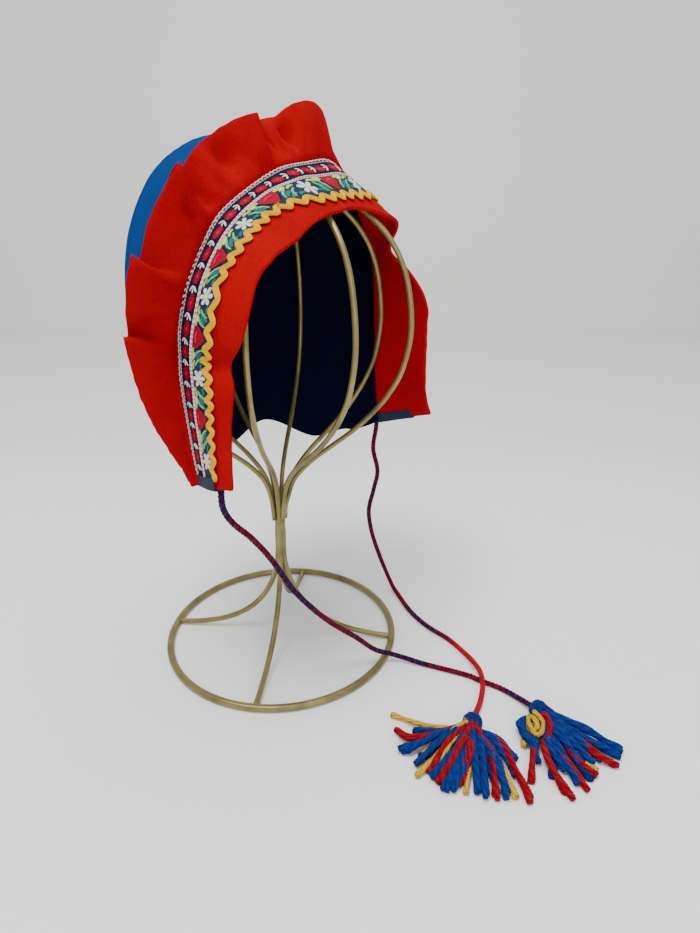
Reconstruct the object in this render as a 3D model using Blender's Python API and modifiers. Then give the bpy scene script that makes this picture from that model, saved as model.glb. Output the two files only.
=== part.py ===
# Soft bonnet of Sami folk dress on a plain wire hat stand, with its two yarn cords and their tassels.
# Sizes are in millimetres and are turned into metres where a mesh is made.
# The hat is worked out in a frame of its own: u forward from the stand's axis, v to the hat's right, z up.

import math
from bisect import bisect_right
from collections import namedtuple

import bmesh
import bpy
from mathutils import Vector

MM = 0.001
GAP = 0.3                      # between neighbouring pieces

# Places seen from above, from the base ring's centre
PART_CENTRE = Vector((12.95, -12.45, 0.0))    # middle of hat and stand together, the part's origin
HAT_AXIS = Vector((4.5, 0.0, 0.0))
HAT_TURN = math.radians(54)               # the hat's front, turned from -Y towards +X
FORWARD = Vector((math.sin(HAT_TURN), -math.cos(HAT_TURN), 0))
RIGHTWARD = Vector((math.cos(HAT_TURN), math.sin(HAT_TURN), 0))

# Wire stand
RING_RADIUS = 90.0
RING_WIRE = 4.8
RING_STEPS = 40
RING_SIDES = 8
WIRE = 3.6
STEM_RADIUS = 2.2              # of the four long wires' centres in the stem
WELD_RADIUS = 4.4              # of the four short ribs' lower ends round the stem
STAND_LEAN = 0.0179            # the stem leans this much towards +X for each unit of height
TOP_BALL = 5.5
Wire = namedtuple("Wire", "azimuth reach leg_azimuth")
RIBS = [                       # azimuth from -Y towards +X; the long wires go on down as legs
    Wire(-3, 1.00, -6.5),
    Wire(36, 1.00, None),
    Wire(84.5, 1.00, 83.5),
    Wire(122, 0.95, None),
    Wire(173, 0.96, 173.5),
    Wire(218, 0.96, None),
    Wire(251, 0.96, 263.5),
    Wire(292, 0.96, None),
]
Ring = namedtuple("Ring", "radius height")
LEG_PROFILE = [Ring(90, 2.6), Ring(72, 3.6), Ring(50, 7), Ring(31, 15), Ring(17, 27), Ring(8, 43), Ring(3.6, 60)]
STEM_HEIGHTS = [76, 92, 104]
BALLOON_PROFILE = [
    Ring(6.5, 122), Ring(12, 138), Ring(24, 152), Ring(40, 165), Ring(55, 177), Ring(68, 190), Ring(79, 204),
    Ring(88, 222), Ring(92.5, 250), Ring(87, 284), Ring(73, 309), Ring(48, 329), Ring(20, 338.5), Ring(3, 340.5),
]
LEG_STEPS = 10
RIB_STEPS = 14

# Cloth thicknesses, and heights of the layers above the hat's base surface, the crown's inner face
CROWN_CLOTH = 1.8
LINING_CLOTH = 1.0
BAND_CLOTH = 2.4
BAND_LIFT = -1.0
RIBBON_CLOTH = 1.0
RIBBON_LIFT = BAND_LIFT + BAND_CLOTH + GAP
RUFFLE_CLOTH = 1.6
RIC_RAC_CLOTH = 1.2

# Across the band, from the seam with the crown (0) to the face edge (1)
BAND_START = 0.03
RIBBON_PARTING = 0.005         # from the border between the two ribbons to either one
RIC_RAC_SWING = 0.045
RIC_RAC_HALF_STROKE = 0.028
RIC_RAC_PITCH = 11.0
BAND_BULGE = 2.5
BULGE_BASE = 240.0             # the bulge is level below this height

COLUMNS = 36                   # along the arch of the face opening, from the left flap's end to the right one's
FRONT_ROWS = 2                 # of the crown, from the seam back to the stand's axis
FAN_ROWS = 7                   # of the crown, from the axis round to the centre back

# The arch of the face opening, a row for each section: the seam behind the ribbons, and the face edge
Section = namedtuple("Section", "seam_u seam_v seam_z edge_u edge_v edge_z")
SECTIONS = [
    Section(17, -89, 170, 60, -103, 181),     # end of the left flap
    Section(13, -90, 204, 58, -99, 214),
    Section(13, -92, 230, 59, -96, 234),
    Section(15, -92, 247, 52, -90, 245),      # dent over the left cheek
    Section(17, -92, 260, 62, -93, 255),
    Section(20, -91, 272, 68, -91, 271),
    Section(23, -89, 283, 69, -84, 288),
    Section(27, -80, 302, 71, -72, 299),
    Section(28, -67, 318, 68, -52, 306),
    Section(31, -46, 332, 67, -35, 315),
    Section(31, -25, 341, 67, -14, 320),
    Section(31, -1, 346, 65, 3, 322),         # middle of the brow
    Section(32, 18, 349, 64, 19, 321),
    Section(30, 37, 344, 61, 38, 320),
    Section(24, 66, 326, 55, 66, 316),        # corner over the right temple
    Section(20, 84, 297, 44, 72, 298),        # notch where the wool is pushed in
    Section(21, 88, 277, 56, 80, 283),
    Section(22, 88, 254, 67, 86, 262),
    Section(23, 88, 228, 69, 88, 236),
    Section(24, 88, 192, 70, 88, 198),
    Section(27, 87, 170, 76, 87, 181),        # end of the right flap
]

# Where the trimmings lie across the band at places along the arch: the narrow ribbon's start, the border
# between it and the floral ribbon, and the middle of the zigzag braid
Trim = namedtuple("Trim", "along start border braid")
TRIMS = [
    Trim(0.00, 0.10, 0.42, 0.69), Trim(0.06, 0.09, 0.40, 0.69), Trim(0.13, 0.06, 0.37, 0.665),
    Trim(0.18, 0.04, 0.335, 0.62), Trim(0.22, 0.04, 0.315, 0.58), Trim(0.28, 0.04, 0.30, 0.585),
    Trim(0.34, 0.04, 0.295, 0.575), Trim(0.385, 0.04, 0.31, 0.66), Trim(0.43, 0.04, 0.375, 0.75),
    Trim(0.48, 0.04, 0.405, 0.775), Trim(0.55, 0.04, 0.40, 0.76), Trim(0.65, 0.04, 0.36, 0.68),
    Trim(0.80, 0.05, 0.36, 0.66), Trim(1.00, 0.08, 0.41, 0.69),
]

# Crown: a dome round the stand's axis, open below at a wavy neck edge
CROWN_RADIUS = 93.0
DOME_BASE = 248.0
DOME_RISE = 116.0
DOME_POWER = 2.65
DOME_SAMPLES = 48
SEAM_FALL = 1.5                # how late the crown falls from the dome to the seam
Neck = namedtuple("Neck", "azimuth height radius")
NECK_EDGE = [Neck(90, 154, 86), Neck(109, 148, 72), Neck(143, 164, 66), Neck(172, 149, 65), Neck(197, 150, 65),
             Neck(222, 163, 64), Neck(250, 150, 67), Neck(270, 168, 83)]
NECK_SWELL = 1.15              # how slowly the crown widens from the neck edge up

# Ruffle, a row for each crest or hollow of its pleats: place along the seam from 0 to 1, width of the
# frill there, its lean backwards in degrees, and how far its free edge is pushed along the seam
Pleat = namedtuple("Pleat", "along width lean push")
PLEATS = [
    Pleat(0.000, 3, 10, 0), Pleat(0.045, 10, 18, 0), Pleat(0.100, 17.5, 22, 0),
    Pleat(0.150, 24, 14, 2), Pleat(0.188, 28.5, 4, 5), Pleat(0.210, 23.5, 34, -1),
    Pleat(0.232, 27, 16, 3), Pleat(0.252, 28.5, 2, 7), Pleat(0.276, 24.5, 34, -1),
    Pleat(0.302, 25, 16, 4), Pleat(0.323, 25, 2, 8), Pleat(0.350, 26, 36, -1),
    Pleat(0.390, 28.5, 20, 2), Pleat(0.430, 27.5, 4, 5), Pleat(0.450, 31, 36, -2),
    Pleat(0.490, 29.5, 24, 0), Pleat(0.528, 31, 16, 0), Pleat(0.560, 33, 34, -2),
    Pleat(0.600, 33, 42, -2), Pleat(0.645, 32, 46, -2), Pleat(0.690, 31, 30, 2),
    Pleat(0.735, 31, 46, -1), Pleat(0.780, 31, 26, 3), Pleat(0.825, 30, 46, -1),
    Pleat(0.870, 27, 24, 2), Pleat(0.915, 20, 36, 0), Pleat(0.960, 11, 24, 0),
    Pleat(1.000, 3, 15, 0),
]
RUFFLE_COLUMNS = 76
RUFFLE_ROWS = 3
RUFFLE_SEAT = 4.0              # height of its base over the seam, clear of the crown that rises behind it
RUFFLE_BEFORE = 0.2            # the seam, towards the face

# Bindings round the ribbon ends of the two flaps
BINDING_CLOTH = 1.0
BINDING_HEIGHT = 8.0
BINDING_REACH = 0.46           # of the way from the ribbons' border to the braid's middle
RIBBON_INSET = BINDING_HEIGHT + 2.5       # the ribbons end just above the bindings

# Cords and tassels, from the base ring's centre
CORD = 4.0
CORD_STEPS = 32
Stop = namedtuple("Stop", "x y z")
LEFT_ROUTE = [
    Stop(-17, -104.6, 176), Stop(-17, -104.3, 163), Stop(-13, -100, 151), Stop(-4, -94, 138), Stop(5, -88, 122),
    Stop(12, -83, 106), Stop(19, -78, 90), Stop(30, -70, 71), Stop(43, -61, 52), Stop(60, -49, 31),
    Stop(74, -40, 15), Stop(86, -32, 7.4), Stop(98, -33, 2.6), Stop(112, -40, 2.2), Stop(128, -49, 2.2),
    Stop(143, -56, 2.2), Stop(152, -62, 2.2), Stop(165, -69, 2.2), Stop(176, -79, 3), Stop(182, -87, 4.5),
]
RIGHT_ROUTE = [
    Stop(77.5, 55.5, 167.2), Stop(77, 57, 158), Stop(75, 57, 141), Stop(79, 59, 120), Stop(76, 58, 103), Stop(72, 56, 84),
    Stop(75, 57, 62), Stop(82, 60, 38), Stop(89, 63, 18), Stop(95, 60, 5), Stop(100, 49, 2.2), Stop(104, 36, 2.2),
    Stop(109, 23, 2.2), Stop(116, 10, 2.2), Stop(124, -1, 2.2), Stop(135, -13, 2.2), Stop(145, -30, 2.4),
    Stop(150, -46, 5.2), Stop(152, -60, 7.2), Stop(151, -72, 5.4), Stop(147, -84, 3.2), Stop(142, -95, 4.5),
]
HEAD_LENGTH = 15.0
HEAD_RADIUS = 6.0
HEAD_HEIGHT = 6.2
Lock = namedtuple("Lock", "x y rise")
LEFT_LOCKS = [Lock(229, -128, 3), Lock(221, -140, 6), Lock(210, -149, 3), Lock(199, -156, 7), Lock(186, -163, 3),
              Lock(174, -158, 6), Lock(164, -151, 3)]
RIGHT_LOCKS = [Lock(84, -99, 6), Lock(86, -112, 3), Lock(88, -129, 7), Lock(96, -147, 3), Lock(108, -159, 8),
               Lock(121, -163, 3), Lock(134, -160, 8), Lock(148, -163, 3), Lock(160, -165, 6)]
LOCK_RADIUS = 3.4

RED = (0.55, 0.01, 0.008)
BLUE = (0.0, 0.08, 0.4)
NAVY = (0.004, 0.006, 0.03)
CRIMSON = (0.25, 0.01, 0.04)
GREEN = (0.03, 0.2, 0.12)
YELLOW = (0.85, 0.45, 0.03)
GOLD = (0.42, 0.34, 0.17)
YARN = (0.02, 0.03, 0.3)


def start_scene():
    for old in list(bpy.data.objects):
        bpy.data.objects.remove(old, do_unlink=True)
    parts = bpy.data.collections.new("sami_hat_on_stand")
    joined = bpy.data.collections.new("joined_pieces")
    for collection in (parts, joined):
        bpy.context.scene.collection.children.link(collection)
    return parts, joined


PARTS, JOINED = start_scene()


def to_part(point):
    """A point in millimetres from the base ring's centre, as metres in the part's frame."""
    return (Vector(point) - PART_CENTRE) * MM


def hat_point(place):
    """A hat point (u, v, z) in the part's frame."""
    u, v, z = place
    return to_part(HAT_AXIS + FORWARD * u + RIGHTWARD * v + Vector((0, 0, z)))


def material(name, colour, roughness, metallic=0.0):
    made = bpy.data.materials.new(name)
    made.use_nodes = True
    shader = made.node_tree.nodes["Principled BSDF"]
    shader.inputs["Base Color"].default_value = (*colour, 1)
    shader.inputs["Roughness"].default_value = roughness
    shader.inputs["Metallic"].default_value = metallic
    return made


def add_object(name, mesh, colour=None, roughness=0.85, metallic=0.0, collection=PARTS):
    made = bpy.data.objects.new(name, mesh)
    collection.objects.link(made)
    if colour:
        mesh.materials.append(material(name, colour, roughness, metallic))
    return made


def smooth_curve(points, position):
    """A point on the smooth curve through the points, at a place counted in points from the first."""
    first = min(int(position), len(points) - 2)
    along = position - first
    before, start, end, after = (points[min(max(first + k, 0), len(points) - 1)] for k in (-1, 0, 1, 2))
    return (start * 2 + (end - before) * along + (before * 2 - start * 5 + end * 4 - after) * along ** 2
            + (start * 3 - before - end * 3 + after) * along ** 3) / 2


def even_points(points, count):
    """Evenly spaced points on the smooth curve through the points."""
    fine = [smooth_curve(points, k / 12) for k in range(12 * (len(points) - 1) + 1)]
    lengths = [0.0]
    for a, b in zip(fine, fine[1:]):
        lengths.append(lengths[-1] + (b - a).length)
    placed = []
    for k in range(count):
        wanted = lengths[-1] * k / (count - 1)
        at = min(max(bisect_right(lengths, wanted) - 1, 0), len(fine) - 2)
        share = (wanted - lengths[at]) / (lengths[at + 1] - lengths[at])
        placed.append(fine[at].lerp(fine[at + 1], min(share, 1)))
    return placed


def tube(name, points, diameter, collection=PARTS, roundness=2):
    """A round wire or cord through the points, as a curve with filled caps."""
    curve = bpy.data.curves.new(name, "CURVE")
    curve.dimensions = "3D"
    curve.bevel_depth = diameter / 2 * MM
    curve.bevel_resolution = roundness
    curve.use_fill_caps = True
    spline = curve.splines.new("POLY")
    spline.points.add(len(points) - 1)
    for place, point in zip(spline.points, points):
        place.co = (*to_part(point), 1)
    made = bpy.data.objects.new(name, curve)
    collection.objects.link(made)
    return made


def tube_mesh(name, points, diameter, collection, roundness=2):
    """The same as one welded mesh, for a piece that is joined to another."""
    curve = tube(name + "_curve", points, diameter, collection, roundness)
    bpy.context.view_layer.update()
    mesh = bpy.data.meshes.new_from_object(curve.evaluated_get(bpy.context.evaluated_depsgraph_get()))
    bpy.data.objects.remove(curve, do_unlink=True)
    welded = bmesh.new()
    welded.from_mesh(mesh)
    bmesh.ops.remove_doubles(welded, verts=welded.verts, dist=0.01 * MM)
    welded.to_mesh(mesh)
    welded.free()
    return add_object(name, mesh, collection=collection)


def join(target, piece):
    piece.hide_render = True
    piece.display_type = "WIRE"
    union = target.modifiers.new("join_" + piece.name, "BOOLEAN")
    union.operation = "UNION"
    union.solver = "EXACT"
    union.object = piece


# Wire stand


def leaning(azimuth, radius, height):
    angle = math.radians(azimuth)
    return Vector((math.sin(angle) * radius + STAND_LEAN * height, -math.cos(angle) * radius, height))


def rib_points(rib):
    """A rib from the stem up round the balloon to the ball that hides under the crown."""
    start = STEM_RADIUS if rib.leg_azimuth is not None else WELD_RADIUS
    rings = [Ring(start, STEM_HEIGHTS[-1])]
    rings += [Ring(max(ring.radius * rib.reach, start), ring.height) for ring in BALLOON_PROFILE]
    return even_points([leaning(rib.azimuth, ring.radius, ring.height) for ring in rings], RIB_STEPS)


def leg_points(rib):
    """The long wire's leg, from inside the base ring to the foot of its rib."""
    legs = [leaning(rib.leg_azimuth, ring.radius, ring.height) for ring in LEG_PROFILE]
    stem = [leaning(rib.leg_azimuth, STEM_RADIUS, height) for height in STEM_HEIGHTS[:-1]]
    return even_points(legs + stem, LEG_STEPS)


def base_ring():
    """The ring, turned from an octagon that stands on a flat side."""
    middle = RING_WIRE / 2 * math.cos(math.pi / RING_SIDES)
    profile = bmesh.new()
    corners = []
    for k in range(RING_SIDES):
        angle = math.pi / 2 - (k + 0.5) * 2 * math.pi / RING_SIDES
        across = RING_RADIUS + math.cos(angle) * RING_WIRE / 2
        corners.append(profile.verts.new((across * MM, 0, (middle + math.sin(angle) * RING_WIRE / 2) * MM)))
    for k, corner in enumerate(corners):
        profile.edges.new((corner, corners[(k + 1) % RING_SIDES]))
    mesh = bpy.data.meshes.new("wire_stand")
    profile.to_mesh(mesh)
    profile.free()
    ring = add_object("wire_stand", mesh, GOLD, 0.35, 1.0)
    ring.location = to_part((0, 0, 0))
    turn = ring.modifiers.new("turn", "SCREW")
    turn.steps = turn.render_steps = RING_STEPS
    turn.use_merge_vertices = True
    turn.merge_threshold = 0.0001
    return ring


def wire_stand():
    stand = base_ring()
    for number, rib in enumerate(RIBS):
        points = rib_points(rib)
        if rib.leg_azimuth is not None:
            points = leg_points(rib) + points
        join(stand, tube_mesh(f"wire_{number}", points, WIRE, JOINED))
    ball = bmesh.new()
    bmesh.ops.create_uvsphere(ball, u_segments=10, v_segments=6, radius=TOP_BALL * MM)
    bmesh.ops.translate(ball, verts=ball.verts, vec=to_part(leaning(0, 0, BALLOON_PROFILE[-1].height)))
    mesh = bpy.data.meshes.new("top_ball")
    ball.to_mesh(mesh)
    ball.free()
    join(stand, add_object("top_ball", mesh, collection=JOINED))


# The hat's base surface


def dome_curve():
    """Radius, height and length run of the crown's side view, from the wall's top to the crown's top."""
    rows = [(CROWN_RADIUS, DOME_BASE, 0.0)]
    for k in range(1, DOME_SAMPLES + 1):
        angle = math.pi / 2 * k / DOME_SAMPLES
        radius = CROWN_RADIUS * max(math.cos(angle), 0) ** (2 / DOME_POWER)
        height = DOME_BASE + DOME_RISE * math.sin(angle) ** (2 / DOME_POWER)
        run = rows[-1][2] + math.hypot(radius - rows[-1][0], height - rows[-1][1])
        rows.append((radius if k < DOME_SAMPLES else 0.0, height, run))
    return rows


DOME = dome_curve()


def eased(rows, place):
    """The rest of a table's row at a place in its first column, eased between neighbouring rows."""
    for low, high in zip(rows, rows[1:]):
        if place <= high[0]:
            share = (place - low[0]) / (high[0] - low[0])
            ease = share * share * (3 - 2 * share)
            return [a + (b - a) * ease for a, b in zip(low[1:], high[1:])]
    return list(rows[-1][1:])


def side_view(share, azimuth):
    """Radius and height of the crown at a share of the way from the neck edge up to the top."""
    neck, neck_radius = eased(NECK_EDGE, azimuth)
    wall = DOME_BASE - neck
    run = share * (wall + DOME[-1][2])
    if run <= wall:
        swell = math.sin(math.pi / 2 * run / wall) ** NECK_SWELL
        return neck_radius + (CROWN_RADIUS - neck_radius) * swell, neck + run
    for low, high in zip(DOME, DOME[1:]):
        if run - wall <= high[2]:
            part = (run - wall - low[2]) / (high[2] - low[2])
            return low[0] + (high[0] - low[0]) * part, low[1] + (high[1] - low[1]) * part
    return DOME[-1][0], DOME[-1][1]


def crown_point(along, turn):
    """A point of the dome: along the arch from 0 to 1, turned from the axis plane (0) to the back (90)."""
    left = along < 0.5
    azimuth = 270 - turn if left else 90 + turn
    radius, height = side_view(2 * along if left else 2 * (1 - along), azimuth)
    angle = math.radians(azimuth)
    return Vector((radius * math.cos(angle), radius * math.sin(angle), height))


def arch(count, inset=0.0):
    """Seam and face edge at evenly spaced places along the seam, as pairs of points, cut short at both ends."""
    seams = [Vector(row[:3]) for row in SECTIONS]
    edges = [Vector(row[3:]) for row in SECTIONS]
    fine = [smooth_curve(seams, k / 12) for k in range(12 * (len(seams) - 1) + 1)]
    lengths = [0.0]
    for a, b in zip(fine, fine[1:]):
        lengths.append(lengths[-1] + (b - a).length)
    pairs = []
    for k in range(count + 1):
        wanted = min(max(lengths[-1] * k / count, inset), lengths[-1] - inset)
        at = min(max(bisect_right(lengths, wanted) - 1, 0), len(fine) - 2)
        place = (at + (wanted - lengths[at]) / (lengths[at + 1] - lengths[at])) / 12
        pairs.append((smooth_curve(seams, place), smooth_curve(edges, place)))
    return pairs


def crown_grid():
    """Rows of points from the centre back forward to the seam."""
    rows = []
    seam = [pair[0] for pair in arch(COLUMNS)]
    for k in range(FRONT_ROWS):
        back = k / FRONT_ROWS
        row = []
        for column, start in enumerate(seam):
            end = crown_point(column / COLUMNS, 0)
            fall = (1 - back) ** SEAM_FALL
            row.append(Vector((start.x * (1 - back), end.y + (start.y - end.y) * fall,
                               end.z + (start.z - end.z) * fall)))
        rows.append(row)
    for k in range(FAN_ROWS + 1):
        turn = 90 * k / FAN_ROWS
        rows.append([crown_point(column / COLUMNS, turn) for column in range(COLUMNS + 1)])
    return rows[::-1]


def band_point(pair, across):
    """A point of the band between the seam (0) and the face edge (1), bulging outwards between them."""
    seam, edge = pair
    point = seam.lerp(edge, across)
    outward = Vector((0, point.y, max(point.z - BULGE_BASE, 0))).normalized()
    return point + outward * BAND_BULGE * math.sin(math.pi * min(max(across, 0), 1))


def trim_at(along):
    return Trim(along, *eased(TRIMS, along))


def band_grid(places, inset=0.0):
    """Rows of points of the band, where places gives the ones across it for a column's trim."""
    pairs = arch(COLUMNS, inset)
    rows = zip(*(places(trim_at(column / COLUMNS)) for column in range(COLUMNS + 1)))
    return [[band_point(pair, across) for pair, across in zip(pairs, row)] for row in rows]


def loft(name, rows, lift):
    """One open surface through rows of hat points, faces outwards, moved out along its normals."""
    surface = bmesh.new()
    grid = [[surface.verts.new(hat_point(point)) for point in row] for row in rows]
    for upper, lower in zip(grid, grid[1:]):
        for a, b, c, d in zip(upper, lower, lower[1:], upper[1:]):
            surface.faces.new((a, b, c, d))
    bmesh.ops.remove_doubles(surface, verts=surface.verts, dist=0.05 * MM)
    surface.normal_update()
    moves = [(vertex, vertex.normal * lift * MM) for vertex in surface.verts]
    for vertex, move in moves:
        vertex.co += move
    mesh = bpy.data.meshes.new(name)
    surface.to_mesh(mesh)
    surface.free()
    return mesh


def cloth(name, rows, lift, thickness, colour, centred=False):
    """A cloth wall: the lofted surface, thickened outwards, or both ways."""
    made = add_object(name, loft(name, rows, lift), colour)
    made.data.shade_smooth()
    wall = made.modifiers.new("wall", "SOLIDIFY")
    wall.thickness = thickness * MM
    wall.offset = 0 if centred else 1
    wall.use_even_offset = True
    wall.use_quality_normals = True
    return made


# Hat pieces


def crown_and_lining():
    rows = crown_grid()
    cloth("crown", rows, 0, CROWN_CLOTH, BLUE)
    cloth("lining", rows, -GAP - LINING_CLOTH, LINING_CLOTH, NAVY)


def front_band():
    rows = band_grid(lambda trim: (BAND_START, trim.border, trim.braid, (trim.braid + 1) / 2, 1))
    cloth("front_band", rows, BAND_LIFT, BAND_CLOTH, RED)


def ribbons():
    narrow = band_grid(lambda trim: (trim.start, trim.border - RIBBON_PARTING), RIBBON_INSET)
    floral = band_grid(lambda trim: (trim.border + RIBBON_PARTING, trim.braid), RIBBON_INSET)
    cloth("ribbon_narrow", narrow, RIBBON_LIFT, RIBBON_CLOTH, CRIMSON)
    cloth("ribbon_floral", floral, RIBBON_LIFT, RIBBON_CLOTH, GREEN)


def ric_rac():
    """A zigzag braid, with a corner at every half pitch."""
    seam = [pair[0] for pair in arch(COLUMNS)]
    length = sum((b - a).length for a, b in zip(seam, seam[1:]))
    corners = 2 * round(length / RIC_RAC_PITCH)
    rows = [[], []]
    for k, pair in list(enumerate(arch(corners)))[2:-2]:
        middle = trim_at(k / corners).braid + RIC_RAC_SWING * (-1) ** k
        for row, side in zip(rows, (-1, 1)):
            row.append(band_point(pair, middle + side * RIC_RAC_HALF_STROKE))
    cloth("ric_rac", rows, RIBBON_LIFT + RIBBON_CLOTH + 2 * GAP, RIC_RAC_CLOTH, YELLOW)


def ruffle():
    pairs = arch(RUFFLE_COLUMNS)
    rows = [[] for _ in range(RUFFLE_ROWS + 1)]
    backward = Vector((-1, 0, 0))
    for column, (seam, _) in enumerate(pairs):
        before, after = pairs[max(column - 1, 0)][0], pairs[min(column + 1, RUFFLE_COLUMNS)][0]
        tangent = (after - before).normalized()
        outward = Vector((1, 0, 0)).cross(tangent).normalized()
        width, lean, push = eased(PLEATS, column / RUFFLE_COLUMNS)
        base = seam - backward * RUFFLE_BEFORE + outward * RUFFLE_SEAT
        for k, row in enumerate(rows):
            share = k / RUFFLE_ROWS
            angle = math.radians(lean)
            reach = (outward * math.cos(angle) + backward * math.sin(angle)) * width
            row.append(base + reach * share + tangent * push * share ** 2)
    cloth("ruffle", rows, 0, RUFFLE_CLOTH, RED, centred=True)


def binding(name, end):
    """A strip folded round the ribbon end of a flap: up its outside, under its end and up its inside."""
    pairs = arch(COLUMNS)
    flap = pairs[0] if end == "left" else pairs[-1]
    inner = pairs[1] if end == "left" else pairs[-2]
    outer_lift = BAND_LIFT + BAND_CLOTH + GAP
    inner_lift = BAND_LIFT - GAP
    trim = trim_at(0 if end == "left" else 1)
    fronts = []
    for pair in (flap, inner):
        start, border, braid = (band_point(pair, across) for across in (BAND_START, trim.border, trim.braid))
        fronts.append([start, border, border.lerp(braid, BINDING_REACH)])
    rows = []
    for k, (here, there) in enumerate(zip(*fronts)):
        up = (there - here).normalized()
        beside = (fronts[0][min(k + 1, 2)] - fronts[0][max(k - 1, 0)]).normalized()
        outward = up.cross(beside)
        if outward.y * here.y < 0:
            outward.negate()
        rows.append([here + outward * outer_lift + up * BINDING_HEIGHT,
                     here + outward * outer_lift - up * GAP,
                     here + outward * inner_lift - up * GAP,
                     here + outward * inner_lift + up * BINDING_HEIGHT])
    if end == "left":
        rows.reverse()
    cloth(name, rows, 0, BINDING_CLOTH, NAVY)


# Cords and tassels


def cord(name, route):
    made = tube(name, even_points([Vector(stop) for stop in route], CORD_STEPS), CORD)
    made.data.materials.append(material(name, YARN, 0.9))


def lock_mesh(name, start, lock):
    """One flattened, tapering lock of yarns from inside the head out to its tip on the table."""
    tip = Vector((lock.x, lock.y, LOCK_RADIUS * 0.75))
    middle = start.lerp(tip, 0.5) + Vector((0, 0, lock.rise))
    points = [start.lerp(middle, 0.1), start.lerp(middle, 0.55), middle, middle.lerp(tip, 0.55), tip]
    return tube_mesh(name, points, LOCK_RADIUS * 2, JOINED, roundness=1)


def tassel(name, route, locks):
    """A bound head on the cord's end, lying on the table, with locks fused to it."""
    end, before = Vector(route[-1]), Vector(route[-2])
    way = (end - before).normalized()
    way.z = 0
    middle = end + way * (2 * GAP + HEAD_LENGTH / 2)
    middle.z = HEAD_HEIGHT
    head = bmesh.new()
    bmesh.ops.create_uvsphere(head, u_segments=10, v_segments=8, radius=HEAD_RADIUS * MM)
    bmesh.ops.scale(head, verts=head.verts, vec=(1, 1, HEAD_LENGTH / 2 / HEAD_RADIUS))
    turn = way.to_track_quat("Z", "Y").to_matrix()
    bmesh.ops.rotate(head, verts=head.verts, cent=(0, 0, 0), matrix=turn)
    bmesh.ops.translate(head, verts=head.verts, vec=to_part(middle))
    mesh = bpy.data.meshes.new(name)
    head.to_mesh(mesh)
    head.free()
    made = add_object(name, mesh, BLUE, 0.9)
    for number, lock in enumerate(locks):
        join(made, lock_mesh(f"{name}_lock_{number}", middle + way * 2, lock))


wire_stand()
crown_and_lining()
front_band()
ribbons()
ric_rac()
ruffle()
binding("binding_left", "left")
binding("binding_right", "right")
cord("cord_left", LEFT_ROUTE)
cord("cord_right", RIGHT_ROUTE)
tassel("tassel_left", LEFT_ROUTE, LEFT_LOCKS)
tassel("tassel_right", RIGHT_ROUTE, RIGHT_LOCKS)
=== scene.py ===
import math
import random
from bisect import bisect_right

import bmesh
import bpy
from mathutils import Matrix, Vector, noise


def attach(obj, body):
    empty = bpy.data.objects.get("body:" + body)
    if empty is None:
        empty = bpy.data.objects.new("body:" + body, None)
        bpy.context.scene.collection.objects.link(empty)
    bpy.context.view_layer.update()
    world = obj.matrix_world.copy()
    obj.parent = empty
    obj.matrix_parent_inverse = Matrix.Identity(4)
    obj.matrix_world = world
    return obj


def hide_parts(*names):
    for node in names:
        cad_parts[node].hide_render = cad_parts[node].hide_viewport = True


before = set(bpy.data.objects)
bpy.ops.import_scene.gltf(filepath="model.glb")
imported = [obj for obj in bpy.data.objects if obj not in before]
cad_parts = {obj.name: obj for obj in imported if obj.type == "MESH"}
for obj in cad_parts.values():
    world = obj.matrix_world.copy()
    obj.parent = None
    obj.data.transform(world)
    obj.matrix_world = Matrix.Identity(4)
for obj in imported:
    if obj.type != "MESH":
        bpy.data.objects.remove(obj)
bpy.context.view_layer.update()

mm = 0.001

# Lengths in the tables are millimetres from the middle of the stand's base ring.
# Hat points are (u, v, z): forward out of the face opening, towards the hat's far side, and up.
place = {
    "partCentre": Vector((12.95, -12.45, 0)),
    "hatAxis": Vector((4.5, 0, 0)),
    "hatTurn": math.radians(54),
    "standLean": 0.0179,
}
forward = Vector((math.sin(place["hatTurn"]), -math.cos(place["hatTurn"]), 0))
sideways = Vector((math.cos(place["hatTurn"]), math.sin(place["hatTurn"]), 0))


def toPart(point):
    return (Vector(point) - place["partCentre"]) * mm


def hatPoint(point):
    u, v, z = point
    return toPart(place["hatAxis"] + forward * u + sideways * v + Vector((0, 0, z)))


# Camera, at the photograph's eye point

view = {
    "eye": (55.7, -414.6, 310.9),
    "turn": math.radians(68.44),      # up from looking straight down
    "lens": 23.15,
    "sensor": 36,
    "nearest": 0.01,
}
camera = bpy.data.objects.new("camera", bpy.data.cameras.new("camera"))
bpy.context.scene.collection.objects.link(camera)
camera.location = toPart(view["eye"])
camera.rotation_euler = (view["turn"], 0, 0)
camera.data.lens = view["lens"]
camera.data.sensor_width = view["sensor"]
camera.data.clip_start = view["nearest"]
bpy.context.scene.camera = camera


# Curves and tubes

def smoothCurve(points, at):
    first = min(int(at), len(points) - 2)
    along = at - first
    before, start, end, after = (points[min(max(first + k, 0), len(points) - 1)] for k in (-1, 0, 1, 2))
    return (start * 2 + (end - before) * along + (before * 2 - start * 5 + end * 4 - after) * along ** 2
            + (start * 3 - before - end * 3 + after) * along ** 3) / 2


def evenPoints(points, step):
    # points about a step apart on the smooth curve through the given ones
    fine = [smoothCurve(points, k / 16) for k in range(16 * (len(points) - 1) + 1)]
    run = [0.0]
    for a, b in zip(fine, fine[1:]):
        run.append(run[-1] + (b - a).length)
    count = max(round(run[-1] / step), 2)
    placed = []
    for k in range(count + 1):
        wanted = run[-1] * k / count
        at = min(max(bisect_right(run, wanted) - 1, 0), len(fine) - 2)
        placed.append(fine[at].lerp(fine[at + 1], min((wanted - run[at]) / (run[at + 1] - run[at]), 1)))
    return placed


def pathLength(points):
    return sum((b - a).length for a, b in zip(points, points[1:]))


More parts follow.
